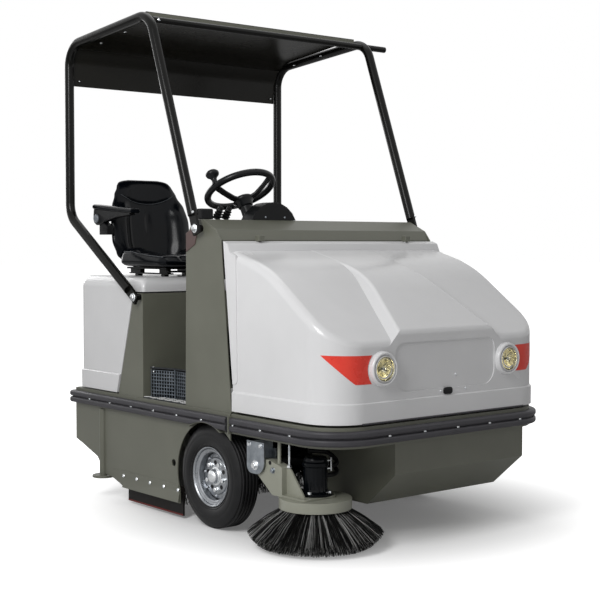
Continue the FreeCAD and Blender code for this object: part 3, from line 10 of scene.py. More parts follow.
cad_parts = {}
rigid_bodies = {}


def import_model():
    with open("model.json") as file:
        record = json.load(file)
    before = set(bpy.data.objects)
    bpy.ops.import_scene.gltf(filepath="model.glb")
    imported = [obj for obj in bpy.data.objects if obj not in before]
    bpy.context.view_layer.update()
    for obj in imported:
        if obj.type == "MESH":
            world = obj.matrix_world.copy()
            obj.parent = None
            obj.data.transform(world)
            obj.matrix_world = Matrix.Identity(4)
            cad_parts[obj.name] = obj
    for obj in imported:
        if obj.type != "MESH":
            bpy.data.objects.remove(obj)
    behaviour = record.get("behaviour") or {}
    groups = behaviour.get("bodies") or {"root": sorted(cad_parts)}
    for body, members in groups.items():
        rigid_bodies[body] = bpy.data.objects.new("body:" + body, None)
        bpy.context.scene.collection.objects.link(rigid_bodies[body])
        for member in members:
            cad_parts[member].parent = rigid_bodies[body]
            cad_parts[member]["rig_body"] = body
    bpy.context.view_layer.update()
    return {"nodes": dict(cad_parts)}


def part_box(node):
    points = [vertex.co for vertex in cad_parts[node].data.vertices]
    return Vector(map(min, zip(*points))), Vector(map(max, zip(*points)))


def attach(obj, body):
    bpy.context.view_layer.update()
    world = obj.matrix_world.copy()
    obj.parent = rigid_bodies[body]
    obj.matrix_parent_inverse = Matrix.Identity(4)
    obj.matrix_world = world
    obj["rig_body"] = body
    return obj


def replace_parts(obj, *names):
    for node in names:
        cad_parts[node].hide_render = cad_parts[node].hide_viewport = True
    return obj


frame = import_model()
scene = bpy.context.scene
MM = 0.001
HANDS = ((-1, "right"), (1, "left"))
chance = random.Random(7)
RIGHT = (-1, 0, 0)
FRONT = (0, -1, 0)


def mm(x, y, z):
    """Point given in mm."""
    return Vector((x, y, z)) * MM


# Colour and materials

def srgb(code):
    """Hex sRGB colour as linear red, green, blue and alpha."""
    values = [int(code[k:k + 2], 16) / 255 for k in (1, 3, 5)]
    return [v / 12.92 if v <= 0.04045 else ((v + 0.055) / 1.055) ** 2.4 for v in values] + [1.0]


def add(tree, kind, wires=None, **settings):
    """One shader node; wires maps each input to an output or to a plain value."""
    node = tree.nodes.new("ShaderNode" + kind)
    for key, value in settings.items():
        setattr(node, key, value)
    for key, value in (wires or {}).items():
        if isinstance(value, bpy.types.NodeSocket):
            tree.links.new(value, node.inputs[key])
        else:
            node.inputs[key].default_value = value
    return node


def finish(name, **sockets):
    """A new surface with one shader; underscores stand for the spaces in socket names."""
    made = bpy.data.materials.new(name)
    made.use_nodes = True
    shader = made.node_tree.nodes["Principled BSDF"]
    for key, value in sockets.items():
        shader.inputs[key.replace("_", " ")].default_value = value
    return made, made.node_tree, shader


NOISE_SPAN = {"From Min": 0.3, "From Max": 0.7}


def mottled(name, dark, light, patch, grain, depth, smooth, rough, **sockets):
    """A surface that drifts between two hex colours, with fine grain and uneven gloss; sizes in metres."""
    made, tree, shader = finish(name, **sockets)
    place = add(tree, "TexCoord").outputs["Object"]
    patches = add(tree, "TexNoise", {
        "Vector": place, "Scale": 1 / patch, "Detail": 4.0, "Roughness": 0.6,
    }).outputs["Fac"]
    blend = add(tree, "MapRange", {"Value": patches, **NOISE_SPAN})
    colours = add(tree, "Mix", {
        0: blend.outputs["Result"], 6: srgb(dark), 7: srgb(light),
    }, data_type="RGBA")
    tree.links.new(colours.outputs[2], shader.inputs["Base Color"])
    wear = add(tree, "MapRange", {"Value": patches, **NOISE_SPAN, "To Min": smooth, "To Max": rough})
    tree.links.new(wear.outputs["Result"], shader.inputs["Roughness"])
    grains = add(tree, "TexNoise", {"Vector": place, "Scale": 1 / grain, "Detail": 3.0})
    bump = add(tree, "Bump", {"Height": grains.outputs["Fac"], "Distance": depth, "Strength": 1.0})
    tree.links.new(bump.outputs["Normal"], shader.inputs["Normal"])
    return made


def powder_coat(name, dark, light, smooth, rough, gloss=0.5):
    """Powder-coated steel: a satin skin with the faint orange peel of baked powder, 3 mm a crest."""
    return mottled(name, dark, light, 0.45, 0.003, 0.00006, smooth, rough, IOR=1.5, Specular_IOR_Level=gloss)


def rotomoulded_plastic(name, dark, light):
    """Rotomoulded polyethylene: even, slightly waxy white with a fine mould texture, 1.5 mm drawn at 2."""
    wax = {"IOR": 1.51, "Subsurface_Weight": 0.04, "Subsurface_Radius": (0.01, 0.01, 0.01)}
    return mottled(name, dark, light, 0.7, 0.002, 0.00004, 0.2, 0.28, **wax)


def extruded_rubber(name, dark, light, smooth, rough, gloss=0.35):
    """Rubber, moulded plastic or vinyl: dull, with a dusty bloom and fine dimples, 1 mm drawn at 2."""
    return mottled(name, dark, light, 0.12, 0.002, 0.00012, smooth, rough, IOR=1.52, Specular_IOR_Level=gloss)


def bright_plating(name, dark, light, smooth, rough):
    """Plated or bare metal: cloudy patches and rolled sheet grain, 1 mm drawn at 2."""
    return mottled(name, dark, light, 0.03, 0.002, 0.00005, smooth, rough, Metallic=1.0)


def adhesive_film(name, dark, light):
    """Cut adhesive vinyl film: slightly uneven red with a smooth, glossy skin."""
    return mottled(name, dark, light, 0.09, 0.004, 0.00002, 0.24, 0.32, IOR=1.5)


grey_green_paint = powder_coat("powder_coated_steel_grey_green", "#5F6055", "#6A6B60", 0.36, 0.48)
# Paler copy of the grey-green paint for the brush cap and arm: painted light, standing in for the light that
# falls on them.
grey_green_painted_light = powder_coat("powder_coated_grey_green_with_painted_light", "#8C8D80", "#999A8D", 0.34, 0.46)
# Olive copy of the dark roof paint for the roof's front lip: painted light, standing in for light caught on
# that edge.
roof_edge_painted_light = powder_coat("roof_paint_olive_painted_light", "#5E5F52", "#6B6C60", 0.3, 0.42)
black_tube_paint = powder_coat("powder_coated_tube_black", "#0A0A09", "#11110F", 0.2, 0.3, 0.18)
roof_paint = powder_coat("powder_coated_roof_sheet", "#12110D", "#191812", 0.2, 0.3, 0.18)
white_cover = rotomoulded_plastic("rotomoulded_polyethylene_white", "#D5D5D6", "#DFDFE0")
bumper_rubber = extruded_rubber("extruded_bumper_rubber", "#302F33", "#3D3C40", 0.46, 0.62)
tyre_rubber = extruded_rubber("vulcanised_tyre_rubber", "#121213", "#1E1E1F", 0.36, 0.5, 0.2)
zinc_plate = bright_plating("zinc_plated_steel", "#868C92", "#A6ACB2", 0.28, 0.42)
silver_paint = bright_plating("silver_painted_steel", "#8B8E92", "#A8ABAF", 0.24, 0.36)
bright_steel = bright_plating("bright_zinc_bolts", "#D3D6D9", "#EDEFF0", 0.18, 0.28)
dark_steel = bright_plating("oiled_dark_steel", "#35373A", "#484A4C", 0.38, 0.55)
black_plastic = extruded_rubber("moulded_black_plastic", "#08090A", "#101113", 0.3, 0.42, 0.18)
motor_paint = powder_coat("painted_cast_iron_motor", "#05070A", "#0A0D11", 0.14, 0.24, 0.14)
bristle_plastic = extruded_rubber("polypropylene_bristle", "#0B0B0B", "#1A1A19", 0.3, 0.42)
seat_vinyl = extruded_rubber("grained_seat_vinyl", "#04060A", "#080B10", 0.14, 0.22, 0.14)
# Welt vinyl: its paler colour than the seat vinyl is a painted highlight along the seams.
welt_vinyl_painted_highlight = extruded_rubber("welt_vinyl_with_painted_highlight", "#26292D", "#35393E", 0.24, 0.32, 0.4)
guard_zinc = bright_plating("dull_zinc_perforated_sheet", "#5E656C", "#767D84", 0.34, 0.48)
# Near-white tops of the tread lozenges: partly wear, partly painted highlight.
lozenge_wear_and_highlight = powder_coat("tread_lozenge_wear_and_painted_highlight", "#DADBDA", "#F0F0EE", 0.24, 0.34)
grip_plastic = extruded_rubber("moulded_grip_plastic", "#08090B", "#101214", 0.24, 0.34, 0.22)
grey_plastic = extruded_rubber("moulded_grey_plastic", "#6B7076", "#7C8187", 0.34, 0.44)
brown_paint = powder_coat("primed_brown_steel", "#4A3836", "#574441", 0.42, 0.54)
flap_rubber = extruded_rubber("dirt_flap_rubber", "#0E0D0C", "#1A1614", 0.5, 0.66, 0.2)
red_rubber = extruded_rubber("red_sealing_rubber", "#541610", "#6C1F17", 0.45, 0.6)
# Pale bristle colour: painted highlight, standing in for glints on the dark strands.
bristle_painted_glint = extruded_rubber("polypropylene_bristle_painted_glint", "#B0B0AE", "#E0E0DE", 0.34, 0.46)
lamp_gold = bright_plating("gold_lamp_reflector", "#F1E6BA", "#FFF9E0", 0.1, 0.18)
lens_glass = finish(
    "clear_lamp_lens", Base_Color=srgb("#F6F8F8"), Roughness=0.03, IOR=1.49, Transmission_Weight=1.0,
)[0]
red_film = adhesive_film("red_adhesive_film", "#E0372A", "#EC4636")


# Pieces

def linked(name, data):
    """New object in the scene."""
    thing = bpy.data.objects.new(name, data)
    scene.collection.objects.link(thing)
    return thing


def shown(name, mesh, surface, body):
    """Puts a mesh into the scene as a piece of a body."""
    mesh.materials.clear()
    mesh.materials.append(surface)
    thing = linked(name, mesh)
    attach(thing, body)
    return thing


def settled(name, mesh, modifiers):
    """The plain mesh that a stack of modifiers makes."""
    maker = linked(name + "_maker", mesh)
    for kind, settings in modifiers:
        modifier = maker.modifiers.new(kind.title(), kind)
        for key, value in settings.items():
            setattr(modifier, key, value)
    bpy.context.view_layer.update()
    shape = bpy.data.meshes.new_from_object(maker.evaluated_get(bpy.context.evaluated_depsgraph_get()))
    bpy.data.objects.remove(maker)
    return shape


def rounded(name, mesh, radius, segments, limit):
    """The mesh with edges sharper than limit degrees rounded to a radius in mm, evenly shaded."""
    mesh.shade_smooth()
    bevel = {"width": radius * MM, "segments": segments, "angle_limit": radians(limit)}
    return settled(name, mesh, [
        ("BEVEL", {"limit_method": "ANGLE", **bevel}), ("WEIGHTED_NORMAL", {"weight": 100}),
    ])


def cleaned(mesh, merge=0.0):
    """Merges points nearer than a distance in metres, if given, and turns the faces outward."""
    form = bmesh.new()
    form.from_mesh(mesh)
    if merge:
        bmesh.ops.remove_doubles(form, verts=form.verts, dist=merge)
    bmesh.ops.recalc_face_normals(form, faces=form.faces)
    form.to_mesh(mesh)
    form.free()


def eased(node, surface):
    """A CAD node with its sharp edges rounded, so that they catch the light as folded metal does."""
    form = bmesh.new()
    form.from_mesh(frame["nodes"][node].data)
    bmesh.ops.remove_doubles(form, verts=form.verts, dist=0.01 * MM)
    bmesh.ops.dissolve_limit(form, angle_limit=radians(0.5), verts=form.verts, edges=form.edges)
    mesh = bpy.data.meshes.new(node + "_eased")
    form.to_mesh(mesh)
    form.free()
    mesh = rounded(node, mesh, 1.2, 2, 24)
    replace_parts(shown(node + "_finished", mesh, surface, frame["nodes"][node]["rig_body"]), node)


# Mesh makers. A form is a list of points and a list of faces.

def polar(radius, angle, height=0.0):
    """Point at a radius and an angle in radians round Z."""
    return Vector((radius * cos(angle), radius * sin(angle), height))


def turned_form(profile, steps=32):
    """Form of a profile of (radius, height) in mm turned about Z."""
    points = []
    faces = []
    rings = []
    for radius, height in profile:
        radius *= MM
        height *= MM
        if radius == 0:
            rings.append([len(points)] * steps)
            points.append(Vector((0, 0, height)))
            continue
        rings.append(list(range(len(points), len(points) + steps)))
        for k in range(steps):
            points.append(polar(radius, tau * k / steps, height))
    for lower, upper in zip(rings, rings[1:]):
        for k in range(steps):
            beside = (k + 1) % steps
            face = tuple(dict.fromkeys([lower[k], lower[beside], upper[beside], upper[k]]))
            if len(face) > 2:
                faces.append(face)
    return points, faces


def ring_faces(rings, steps):
    """Faces between rings of equally many points."""
    faces = []
    for ring in range(rings - 1):
        for k in range(steps):
            a = ring * steps + k
            b = ring * steps + (k + 1) % steps
            faces.append((a, b, b + steps, a + steps))
    return faces


def tube_form(path, radii, sides=8):
    """Form of a round tube along a path; radii in mm are one number or one for each point."""
    points = []
    side = None
    if not isinstance(radii, list):
        radii = [radii] * len(path)
    for index, here in enumerate(path):
        ahead = (path[min(index + 1, len(path) - 1)] - path[max(index - 1, 0)]).normalized()
        if side is None:
            side = ahead.orthogonal().normalized()
        side = (side - ahead * side.dot(ahead)).normalized()
        other = ahead.cross(side)
        radius = radii[index] * MM
        for k in range(sides):
            angle = tau * k / sides
            points.append(here + (side * cos(angle) + other * sin(angle)) * radius)
    last = (len(path) - 1) * sides
    ends = [tuple(reversed(range(sides))), tuple(range(last, last + sides))]
    return points, ring_faces(len(path), sides) + ends


def placed(form, at, out=(0, 0, 1), spin=0.0):
    """A form with its Z turned to the direction out and its origin moved to a point."""
    turn = Vector(out).to_track_quat("Z", "Y").to_matrix() @ Matrix.Rotation(spin, 3, "Z")
    return [turn @ point + Vector(at) for point in form[0]], form[1]


def joined(name, forms, smooth=35):
    """One mesh of many forms, smooth up to an angle in degrees."""
    points = []
    faces = []
    for some_points, some_faces in forms:
        start = len(points)
        points.extend(some_points)
        faces.extend(tuple(index + start for index in face) for face in some_faces)
    mesh = bpy.data.meshes.new(name)
    mesh.from_pydata(points, [], faces)
    mesh.shade_smooth()
    mesh.set_sharp_from_angle(angle=radians(smooth))
    return mesh


def assembled(name, forms, smooth, surface, body):
    """Forms joined into one piece of the scene."""
    return shown(name, joined(name, forms, smooth), surface, body)


def extruded(outline, axis, start, end):
    """Form of a flat outline carried from start to end along axis 0, 1 or 2; sizes in mm."""
    points = []
    for level in (start, end):
        for a, b in outline:
            values = [a, b]
            values.insert(axis, level)
            points.append(mm(*values))
    count = len(outline)
    faces = [tuple(range(count)), tuple(reversed(range(count, 2 * count)))]
    for k in range(count):
        faces.append((k, k + count, (k + 1) % count + count, (k + 1) % count))
    return points, faces


def block(low, high):
    """Form of a block between two corners in mm."""
    (left, front, bottom), (right, rear, top) = low, high
    return extruded([(left, front), (right, front), (right, rear), (left, rear)], 2, bottom, top)


def softened(name, forms, radius, surface, body):
    """Plates and blocks as one piece with edges rounded to a radius in mm."""
    mesh = joined(name, forms, 30)
    cleaned(mesh)
    return shown(name, rounded(name, mesh, radius, 3, 30), surface, body)


def hex_bolt(flats, height, washer):
    """Hexagon head on a washer; sizes in mm."""
    corner = flats / sqrt(3)
    disc = turned_form([(washer, 0), (washer, 2), (washer - 0.5, 2.5), (0, 2.5)], 24)
    head = turned_form([
        (corner, 2.5), (corner, height), (corner - 0.8, height + 0.8), (flats / 2 - 1.2, height + 1.2),
        (0, height + 0.9),
    ], 6)
    return [disc, head]


def pan_screw(radius):
    """Low round screw head with a socket; radius in mm."""
    outline = [(1, 0), (1, 0.4), (0.8, 0.6), (0.45, 0.65), (0.4, 0.3), (0, 0.3)]
    return [turned_form([(r * radius, h * radius) for r, h in outline], 16)]


def fasteners(name, head, places, body="chassis", surface=bright_steel):
    """Equal screws as one piece, no two turned alike; places are (point, direction out)."""
    forms = []
    for index, (at, out) in enumerate(places):
        for part in head:
            forms.append(placed(part, at, out, index * 0.7))
    return assembled(name, forms, 30, surface, body)


# CAD nodes that keep their form. The first group also gets rounded edges.

EASED = (
    (grey_green_paint, "frame_paint", (
        "side_plate_right", "side_plate_left", "rear_plate", "chassis_deck", "console_pillars", "console_bar",
        "seat_box_wall", "hopper_frame", "hopper_box", "hood_carrier", "brush_tunnel", "foot_posts",
        "front_axle",
    )),
    # The brush cap and arm take the paler copy of the grey-green paint, which is painted light.
    (grey_green_painted_light, "frame_paint", ("brush_cap", "brush_arm")),
    (dark_steel, "dark_steel", ("rear_fork",)),
    (black_tube_paint, "black_paint", ("lift_arms",)),
    (zinc_plate, "zinc", ("brush_carrier",)),
    (dark_steel, "tread", ("tread_floor",)),
    (roof_paint, "roof_paint", ("canopy_sheet",)),
    (black_plastic, "black_plastic", ("foot_pedal", "dash_pod")),
)
for surface, slot, nodes in EASED:
    for node in nodes:
        eased(node, surface)

KEPT = (
    (flap_rubber, ("skirt_flaps",)),
    (dark_steel, ("engine",)),
    (white_cover, ("rear_cover", "hood_shell")),
    (bumper_rubber, ("front_bumper", "rear_bumper")),
    (black_plastic, ("steering_column",)),
    (black_tube_paint, ("cage_right", "cage_left", "canopy_bars")),
)
for surface, nodes in KEPT:
    for node in nodes:
        frame["nodes"][node].data.materials.clear()
        frame["nodes"][node].data.materials.append(surface)


# Wheels

TREAD_RIBS = 5
TREAD_HALF = 39
BEAD = 122


def tyre(node, body):
    """Industrial tyre: five ribs, square shoulders and fine rings on the sidewall."""
    low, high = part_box(node)
    half = (high.x - low.x) / 2 / MM
    outer = (high.z - low.z) / 2 / MM
    rib = 2 * TREAD_HALF / TREAD_RIBS
    flank = [(8, 1.9), (1.2, 2.9), (0, 4.2)]
    tread = []
    for k in range(TREAD_RIBS):
        start = k * rib - TREAD_HALF
        tread += [(outer - depth, start + inset) for depth, inset in flank]
        tread += [(outer - depth, start + rib - inset) for depth, inset in reversed(flank)]
    wall = [
        (BEAD, 44), (BEAD + 4, 49), (BEAD + 9, 51), (BEAD + 11, 50), (BEAD + 14, 52.5),
        (outer - 58, half), (outer - 44, half), (outer - 42, half - 0.8), (outer - 40, half - 0.2),
        (outer - 26, half - 4), (outer - 12, half - 10), (outer - 6, half - 14), (outer - 9, half - 16),
    ]
    profile = [(r, -h) for r, h in wall] + tread + wall[::-1]
    form = placed(turned_form(profile, 128), (low + high) / 2, (1, 0, 0))
    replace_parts(assembled(node + "_ribbed", [form], 40, tyre_rubber, body), node)


def pressed_rim(node, body, side):
    """Two-part pressed rim with a dished disc, nuts, bolts and a domed bright hub cap."""
    low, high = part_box(node)
    centre = (low + high) / 2
    out = (side, 0, 0)

    def circle(count, first, radius, proud):
        """Places on a circle round the axle, sizes in mm; first is the first angle as a share of a step."""
        places = []
        for k in range(count):
            angle = tau * (k + first) / count
            at = Vector((side * proud * MM, radius * MM * cos(angle), radius * MM * sin(angle)))
            places.append((centre + at, out))
        return places

    disc = [
        (95, -46), (120.5, -46), (120.5, -43), (112, -37), (97, -36), (95, -30), (95, 0), (92, 7), (76, 9),
        (72, 14), (64, 15.5), (40, 15.5), (34, 17), (31, 21), (0, 21),
    ]
    lip = [
        (95, 0), (95.5, 22), (97, 31), (102, 34.5), (109, 35), (112, 37), (113, 41), (115, 44.5),
        (118, 46.5), (120.6, 46), (120.6, 40), (116, 33), (104, 30), (101, 24), (101, -30),
    ]
    forms = [placed(turned_form(part, 96), centre, out) for part in (disc, lip)]
    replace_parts(assembled(node + "_pressed", forms, 30, silver_paint, body), node)
    dome = [(31, 19), (31, 24), (29, 26), (28, 34), (26, 40), (21, 44), (12, 46.3), (5, 46.8), (0, 46.9)]
    collar = [(38, 15), (38, 19), (35, 21.5), (31, 21.5)]
    forms = [placed(turned_form(part, 48), centre, out) for part in (dome, collar)]
    assembled(node + "_hub_cap", forms, 40, bright_steel, body)
    # Flat black discs between the nuts: painted shade in place of holes through the disc.
    hole_shade_disc = [turned_form([(9, 0), (9, 1.2), (7, 1.0), (6, 0.3), (0, 0.3)], 20)]
    nuts_and_holes = circle(10, 0.35, 55, 15.4)
    fasteners(node + "_nuts", hex_bolt(17, 12, 11), nuts_and_holes[1::2], body)
    fasteners(node + "_disc_hole_shades", hole_shade_disc, nuts_and_holes[::2], body, black_plastic)
    fasteners(node + "_rim_bolts", hex_bolt(10, 6, 7), circle(8, 0.1, 83, 8.6), body, silver_paint)


for wheel, body, side in (
    ("front_right", "front_wheel_right", -1),
    ("front_left", "front_wheel_left", 1),
    ("rear", "rear_wheel", 1),
):
    tyre(wheel + "_tyre", body)
    pressed_rim(wheel + "_rim", body, side)


# Driver's seat

def pillow(name, front, back, across, along):
    """Closed padded mesh between two surfaces, given over (-1..1, 0..1), that meet at their rim."""
    points = []
    faces = []
    for surface in (front, back):
        for row in range(along + 1):
            for column in range(across + 1):
                points.append(surface(2 * column / across - 1, row / along))
    width = across + 1
    sheet = width * (along + 1)
    for row in range(along):
        for column in range(across):
            a = row * width + column
            faces.append((a, a + 1, a + 1 + width, a + width))
            faces.append((sheet + a, sheet + a + width, sheet + a + 1 + width, sheet + a + 1))
    mesh = bpy.data.meshes.new(name)
    mesh.from_pydata(points, [], faces)
    cleaned(mesh, 0.2 * MM)
    mesh = settled(name, mesh, [("SUBSURF", {"levels": 1, "render_levels": 1})])
    mesh.shade_smooth()
    return mesh


def upholstered(name, front, back, across, along, node):
    """Seat pad between two surfaces, in place of a CAD node."""
    pad = shown(name, pillow(name, front, back, across, along), seat_vinyl, "cover")
    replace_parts(pad, node)


def between(table, value):
    """Smooth interpolation in a list of (value, result) pairs."""
    for (low, first), (high, second) in zip(table, table[1:]):
        if value <= high:
            share = max(0.0, (value - low) / (high - low))
            share = share * share * (3 - 2 * share)
            return first + (second - first) * share
    return table[-1][1]


def swell(value, centre, width):
    """Smooth bump of height 1 round a centre."""
    return exp(-((value - centre) / width) ** 2)


def spread(u, v, across, along):
    """Even steps made to crowd at the rim, and how full the padding is there."""
    side = sin(u * pi / 2)
    level = 0.5 - 0.5 * cos(v * pi)
    fullness = sqrt(max(0.0, 1 - abs(side) ** across))
    return side, level, fullness * sqrt(max(0.0, 1 - abs(2 * level - 1) ** along))


back_low, back_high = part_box("seat_back")
seat_x = (back_low.x + back_high.x) / 2
BACK_HALF = [
    (0.0, 112), (0.05, 158), (0.14, 194), (0.3, 213), (0.5, 213), (0.68, 197), (0.82, 170), (0.92, 150),
    (0.965, 138), (0.985, 120), (1.0, 82),
]
BACK_LEAN = 58
BACK_WRAP = 36
BACK_DEPTH = 44
FACE_DEPTH = 18
SHELL_DEPTH = 21
BOLSTER = 34
CREASE = 12


def back_point(side, level, depth):
    """Point of the backrest, which leans back with its wings forward; depth in mm is to the front."""
    wrap = BACK_WRAP * abs(side) ** 2.5 * between([(0, 1.0), (0.6, 1.0), (0.86, 0.35), (1.0, 0.0)], level)
    x = seat_x + side * between(BACK_HALF, level) * MM
    z = back_low.z + level * (back_high.z - back_low.z)
    return Vector((x, back_low.y + (BACK_DEPTH + level * BACK_LEAN - wrap) * MM - depth * MM, z))


def head_seam(side):
    """Height of the seam under the head panel, as a share of the backrest's."""
    return 0.72 + 0.15 * side * side


def back_front(u, v):
    """Padded face: side bolsters, a head panel over a curved seam and a centre crease."""
    side, level, fullness = spread(u, v, 6, 12)
    bolster = BOLSTER * between([(0.46, 0.0), (0.72, 1.0), (1.0, 0.5)], abs(side))
    bolster *= between([(0, 0.5), (0.2, 1), (0.6, 0.9), (0.76, 0.2), (1, 0)], level)
    head = between([(-0.02, 0.0), (0.035, 7.0), (0.28, 4.0)], level - head_seam(side))
    groove = -2 * swell(level, head_seam(side), 0.012)
    crease = -CREASE * swell(side, 0, 0.035) * swell(level, 0.5, 0.13)
    return back_point(side, level, (FACE_DEPTH + bolster + head + groove + crease) * fullness)


def back_rear(u, v):
    """Moulded rear shell of the backrest."""
    side, level, fullness = spread(u, v, 6, 12)
    return back_point(side, level, -SHELL_DEPTH * fullness)


cushion_low, cushion_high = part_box("seat_cushion")
CUSHION_HALF = [(0.0, 190), (0.1, 207), (0.5, 209), (0.9, 207), (0.97, 198), (1.0, 176)]
CUSHION_RIM = 28
CUSHION_BELLY = 24
SIDE_SEAM = 0.52
FRONT_SEAM = 0.17


def cushion_point(side, level, height):
    """Point of the cushion at a height in mm over its lowest; level runs from front to rear."""
    x = seat_x + side * between(CUSHION_HALF, level) * MM
    y = cushion_low.y + 2 * MM + level * (cushion_high.y - cushion_low.y - 4 * MM)
    return Vector((x, y, cushion_low.z + height * MM))


def cushion_top(u, v):
    """Top of the cushion: raised side bolsters, a dished middle and a rolled front edge."""
    side, level, fullness = spread(u, v, 14, 16)
    edge = between([(0.0, 40), (0.06, 56), (0.3, 64), (0.5, 76), (0.72, 92), (0.93, 90), (1.0, 80)], level)
    middle = between([(0.0, 30), (0.08, 56), (0.3, 60), (0.6, 48), (0.9, 54), (1.0, 46)], level)
    share = between([(0.4, 0.0), (0.78, 1.0), (1.0, 0.9)], abs(side))
    seam = -5 * swell(abs(side), SIDE_SEAM, 0.025)
    if abs(side) < SIDE_SEAM:
        seam -= 5 * swell(level, FRONT_SEAM, 0.014)
    height = CUSHION_RIM + (middle + (edge - middle) * share + seam - CUSHION_RIM) * fullness
    return cushion_point(side, level, height)


def cushion_under(u, v):
    """Underside of the cushion."""
    side, level, fullness = spread(u, v, 14, 16)
    return cushion_point(side, level, CUSHION_RIM - CUSHION_BELLY * fullness)


upholstered("backrest", back_front, back_rear, 40, 48, "seat_back")
upholstered("cushion", cushion_top, cushion_under, 40, 36, "seat_cushion")


def piping(name, path, radius):
    """Round welt sewn along a seam."""
    assembled(name, [tube_form(path, radius)], 35, welt_vinyl_painted_highlight, "cover")


def on_seat(surface, side, level):
    """Point of a pad at a share of its width and length."""
    return surface(asin(side) * 2 / pi, acos(1 - 2 * level) / pi)


piping("head_seam_welt", [
    on_seat(back_front, k / 20, head_seam(k / 20)) - mm(0, 1.5, 0) for k in range(-17, 18)
], 2.2)
for side, hand in HANDS:
    piping("cushion_seam_" + hand, [
        on_seat(cushion_top, side * SIDE_SEAM, FRONT_SEAM + k * 0.78 / 24) for k in range(25)
    ], 1.6)
    piping("cushion_welt_" + hand, [
        on_seat(cushion_top, side * 0.955, 0.06 + k * 0.84 / 30) + mm(0, 0, 1) for k in range(31)
    ], 2.6)
piping("cushion_seam_front", [
    on_seat(cushion_top, k / 24 * SIDE_SEAM, FRONT_SEAM) for k in range(-24, 25)
], 1.6)


def seat_frame():
    """Pressed pan with a lip over two slider rails on small feet."""
    centre = seat_x / MM
    forms = [block((centre - 165, 512, 1036), (centre + 165, 836, 1044))]
    for x in (centre - 128, centre + 128):
        forms.append(block((x - 16, 530, 1013), (x + 16, 850, 1019)))
        for y, long in ((545, 60), (760, 84)):
            forms.append(block((x - 12, y, 1019), (x + 12, y + long, 1036)))
            forms.append(block((x - 13, y + 18, 1004), (x + 13, y + 44, 1013)))
    lip = [mm(centre - 150, 522, 1026), mm(centre, 520, 1026), mm(centre + 150, 522, 1026)]
    forms.append(tube_form(lip, 5, 10))
    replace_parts(softened("seat_sliders", forms, 1.5, black_plastic, "cover"), "seat_base")


seat_frame()


def arm_support():
    """Padded armrest on a tapered bracket, with a pivot disc at its rear and a switch box below."""
    pivot = mm(-526, 945, 1274)
    slope = Matrix.Rotation(radians(4.5), 3, "X")

    def tilted(form):
        """The form turned up at its front about the pivot and set 8 mm down."""
        return [slope @ (point - pivot) + pivot - Vector((0, 0, 8 * MM)) for point in form[0]], form[1]

    pad = [
        (-552, 1326), (-549, 1333), (-540, 1336), (-512, 1336), (-503, 1333), (-500, 1326), (-503, 1316),
        (-549, 1316),
    ]
    bracket = [
        (662, 1316), (662, 1306), (780, 1288), (878, 1262), (905, 1247), (944, 1242), (966, 1252),
        (976, 1272), (974, 1316),
    ]
    box = [(858, 1190), (926, 1190), (926, 1232), (920, 1248), (900, 1250), (858, 1228)]
    disc = [(19.5, 0), (19.5, 4), (17.5, 6.5), (15, 7), (13, 5.5), (0, 5.5)]
    rest = softened("armrest_pad", [tilted(extruded(pad, 1, 642, 974))], 5, seat_vinyl, "cover")
    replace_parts(rest, "armrest")
    softened("armrest_bracket", [
        tilted(extruded(bracket, 0, -543, -512)), extruded(box, 0, -540, -504),
    ], 3, black_plastic, "cover")
    cap = placed(turned_form(disc, 36), mm(-543, 945, 1264), RIGHT)
    assembled("armrest_pivot_cap", [cap], 35, grey_plastic, "cover")


arm_support()


# Steering wheel and hand controls

def steering_hand_wheel():
    """Dished three-spoke wheel with a thick grip and a mushroom knob, square to the column."""
    centre = mm(-285, 190, 1378)
    column = Vector((0, 0.48481, 0.87462))
    side = Vector((1, 0, 0))
    back = column.cross(side)

    def spot(degrees, radius, level=0.0):
        """Point at an angle and a radius round the column, and at a level along it, in metres."""
        angle = radians(degrees)
        return centre + (side * cos(angle) + back * sin(angle)) * radius + column * level

    forms = [tube_form([spot(k * 5, 143 * MM) for k in range(73)], 14.5, 16)]
    hub = [(0, -88), (26, -88), (32, -82), (34, -66), (42, -58), (44, -50), (40, -43), (28, -38), (0, -37)]
    forms.append(placed(turned_form(hub, 40), centre, column))
    spoke = [(26, -54), (60, -47), (100, -26), (128, -8), (142, 0)]
    for turn in (187, 307, 67):
        path = [spot(turn, r * MM, h * MM) for r, h in spoke]
        for shift in (-8, 8):
            across = (spot(turn + 90, 1.0) - centre).normalized() * shift * MM
            forms.append(tube_form([point + across for point in path], [8, 7, 6.5, 7, 8], 12))
        forms.append(tube_form(path, [7, 6, 5.5, 6, 7], 12))
    knob = [
        (0, 4), (19, 5), (15, 12), (11, 22), (12, 32), (17, 40), (26, 48), (29, 55), (28, 62), (21, 69),
        (10, 72.5), (0, 73),
    ]
    forms.append(placed(turned_form(knob, 32), spot(190, 142 * MM), column))
    wheel = assembled("hand_wheel", forms, 50, grip_plastic, "steering")
    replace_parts(wheel, "steering_wheel")


steering_hand_wheel()


def hand_levers():
    """Dark switch box and two levers in folded rubber boots."""
    case = [(60, 1248), (100, 1248), (100, 1286), (94, 1291), (66, 1291), (60, 1286)]
    case = extruded(case, 0, -573, -517)
    controls = softened("switch_case", [case], 2.5, black_plastic, "chassis")
    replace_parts(controls, "hand_controls")
    folds = [
        (15, 0), (20, 5), (14, 10), (19, 16), (13, 21), (18, 27), (12, 32), (16, 38), (11, 43), (12, 52),
        (9, 57), (0, 58),
    ]
    boots = [
        placed(turned_form(folds, 28), mm(x, y, 1248), (0.35, -0.3, 1)) for x, y in ((-495, 74), (-449, 78))
    ]
    assembled("lever_boots", boots, 25, black_plastic, "chassis")


hand_levers()


# Footwell guard

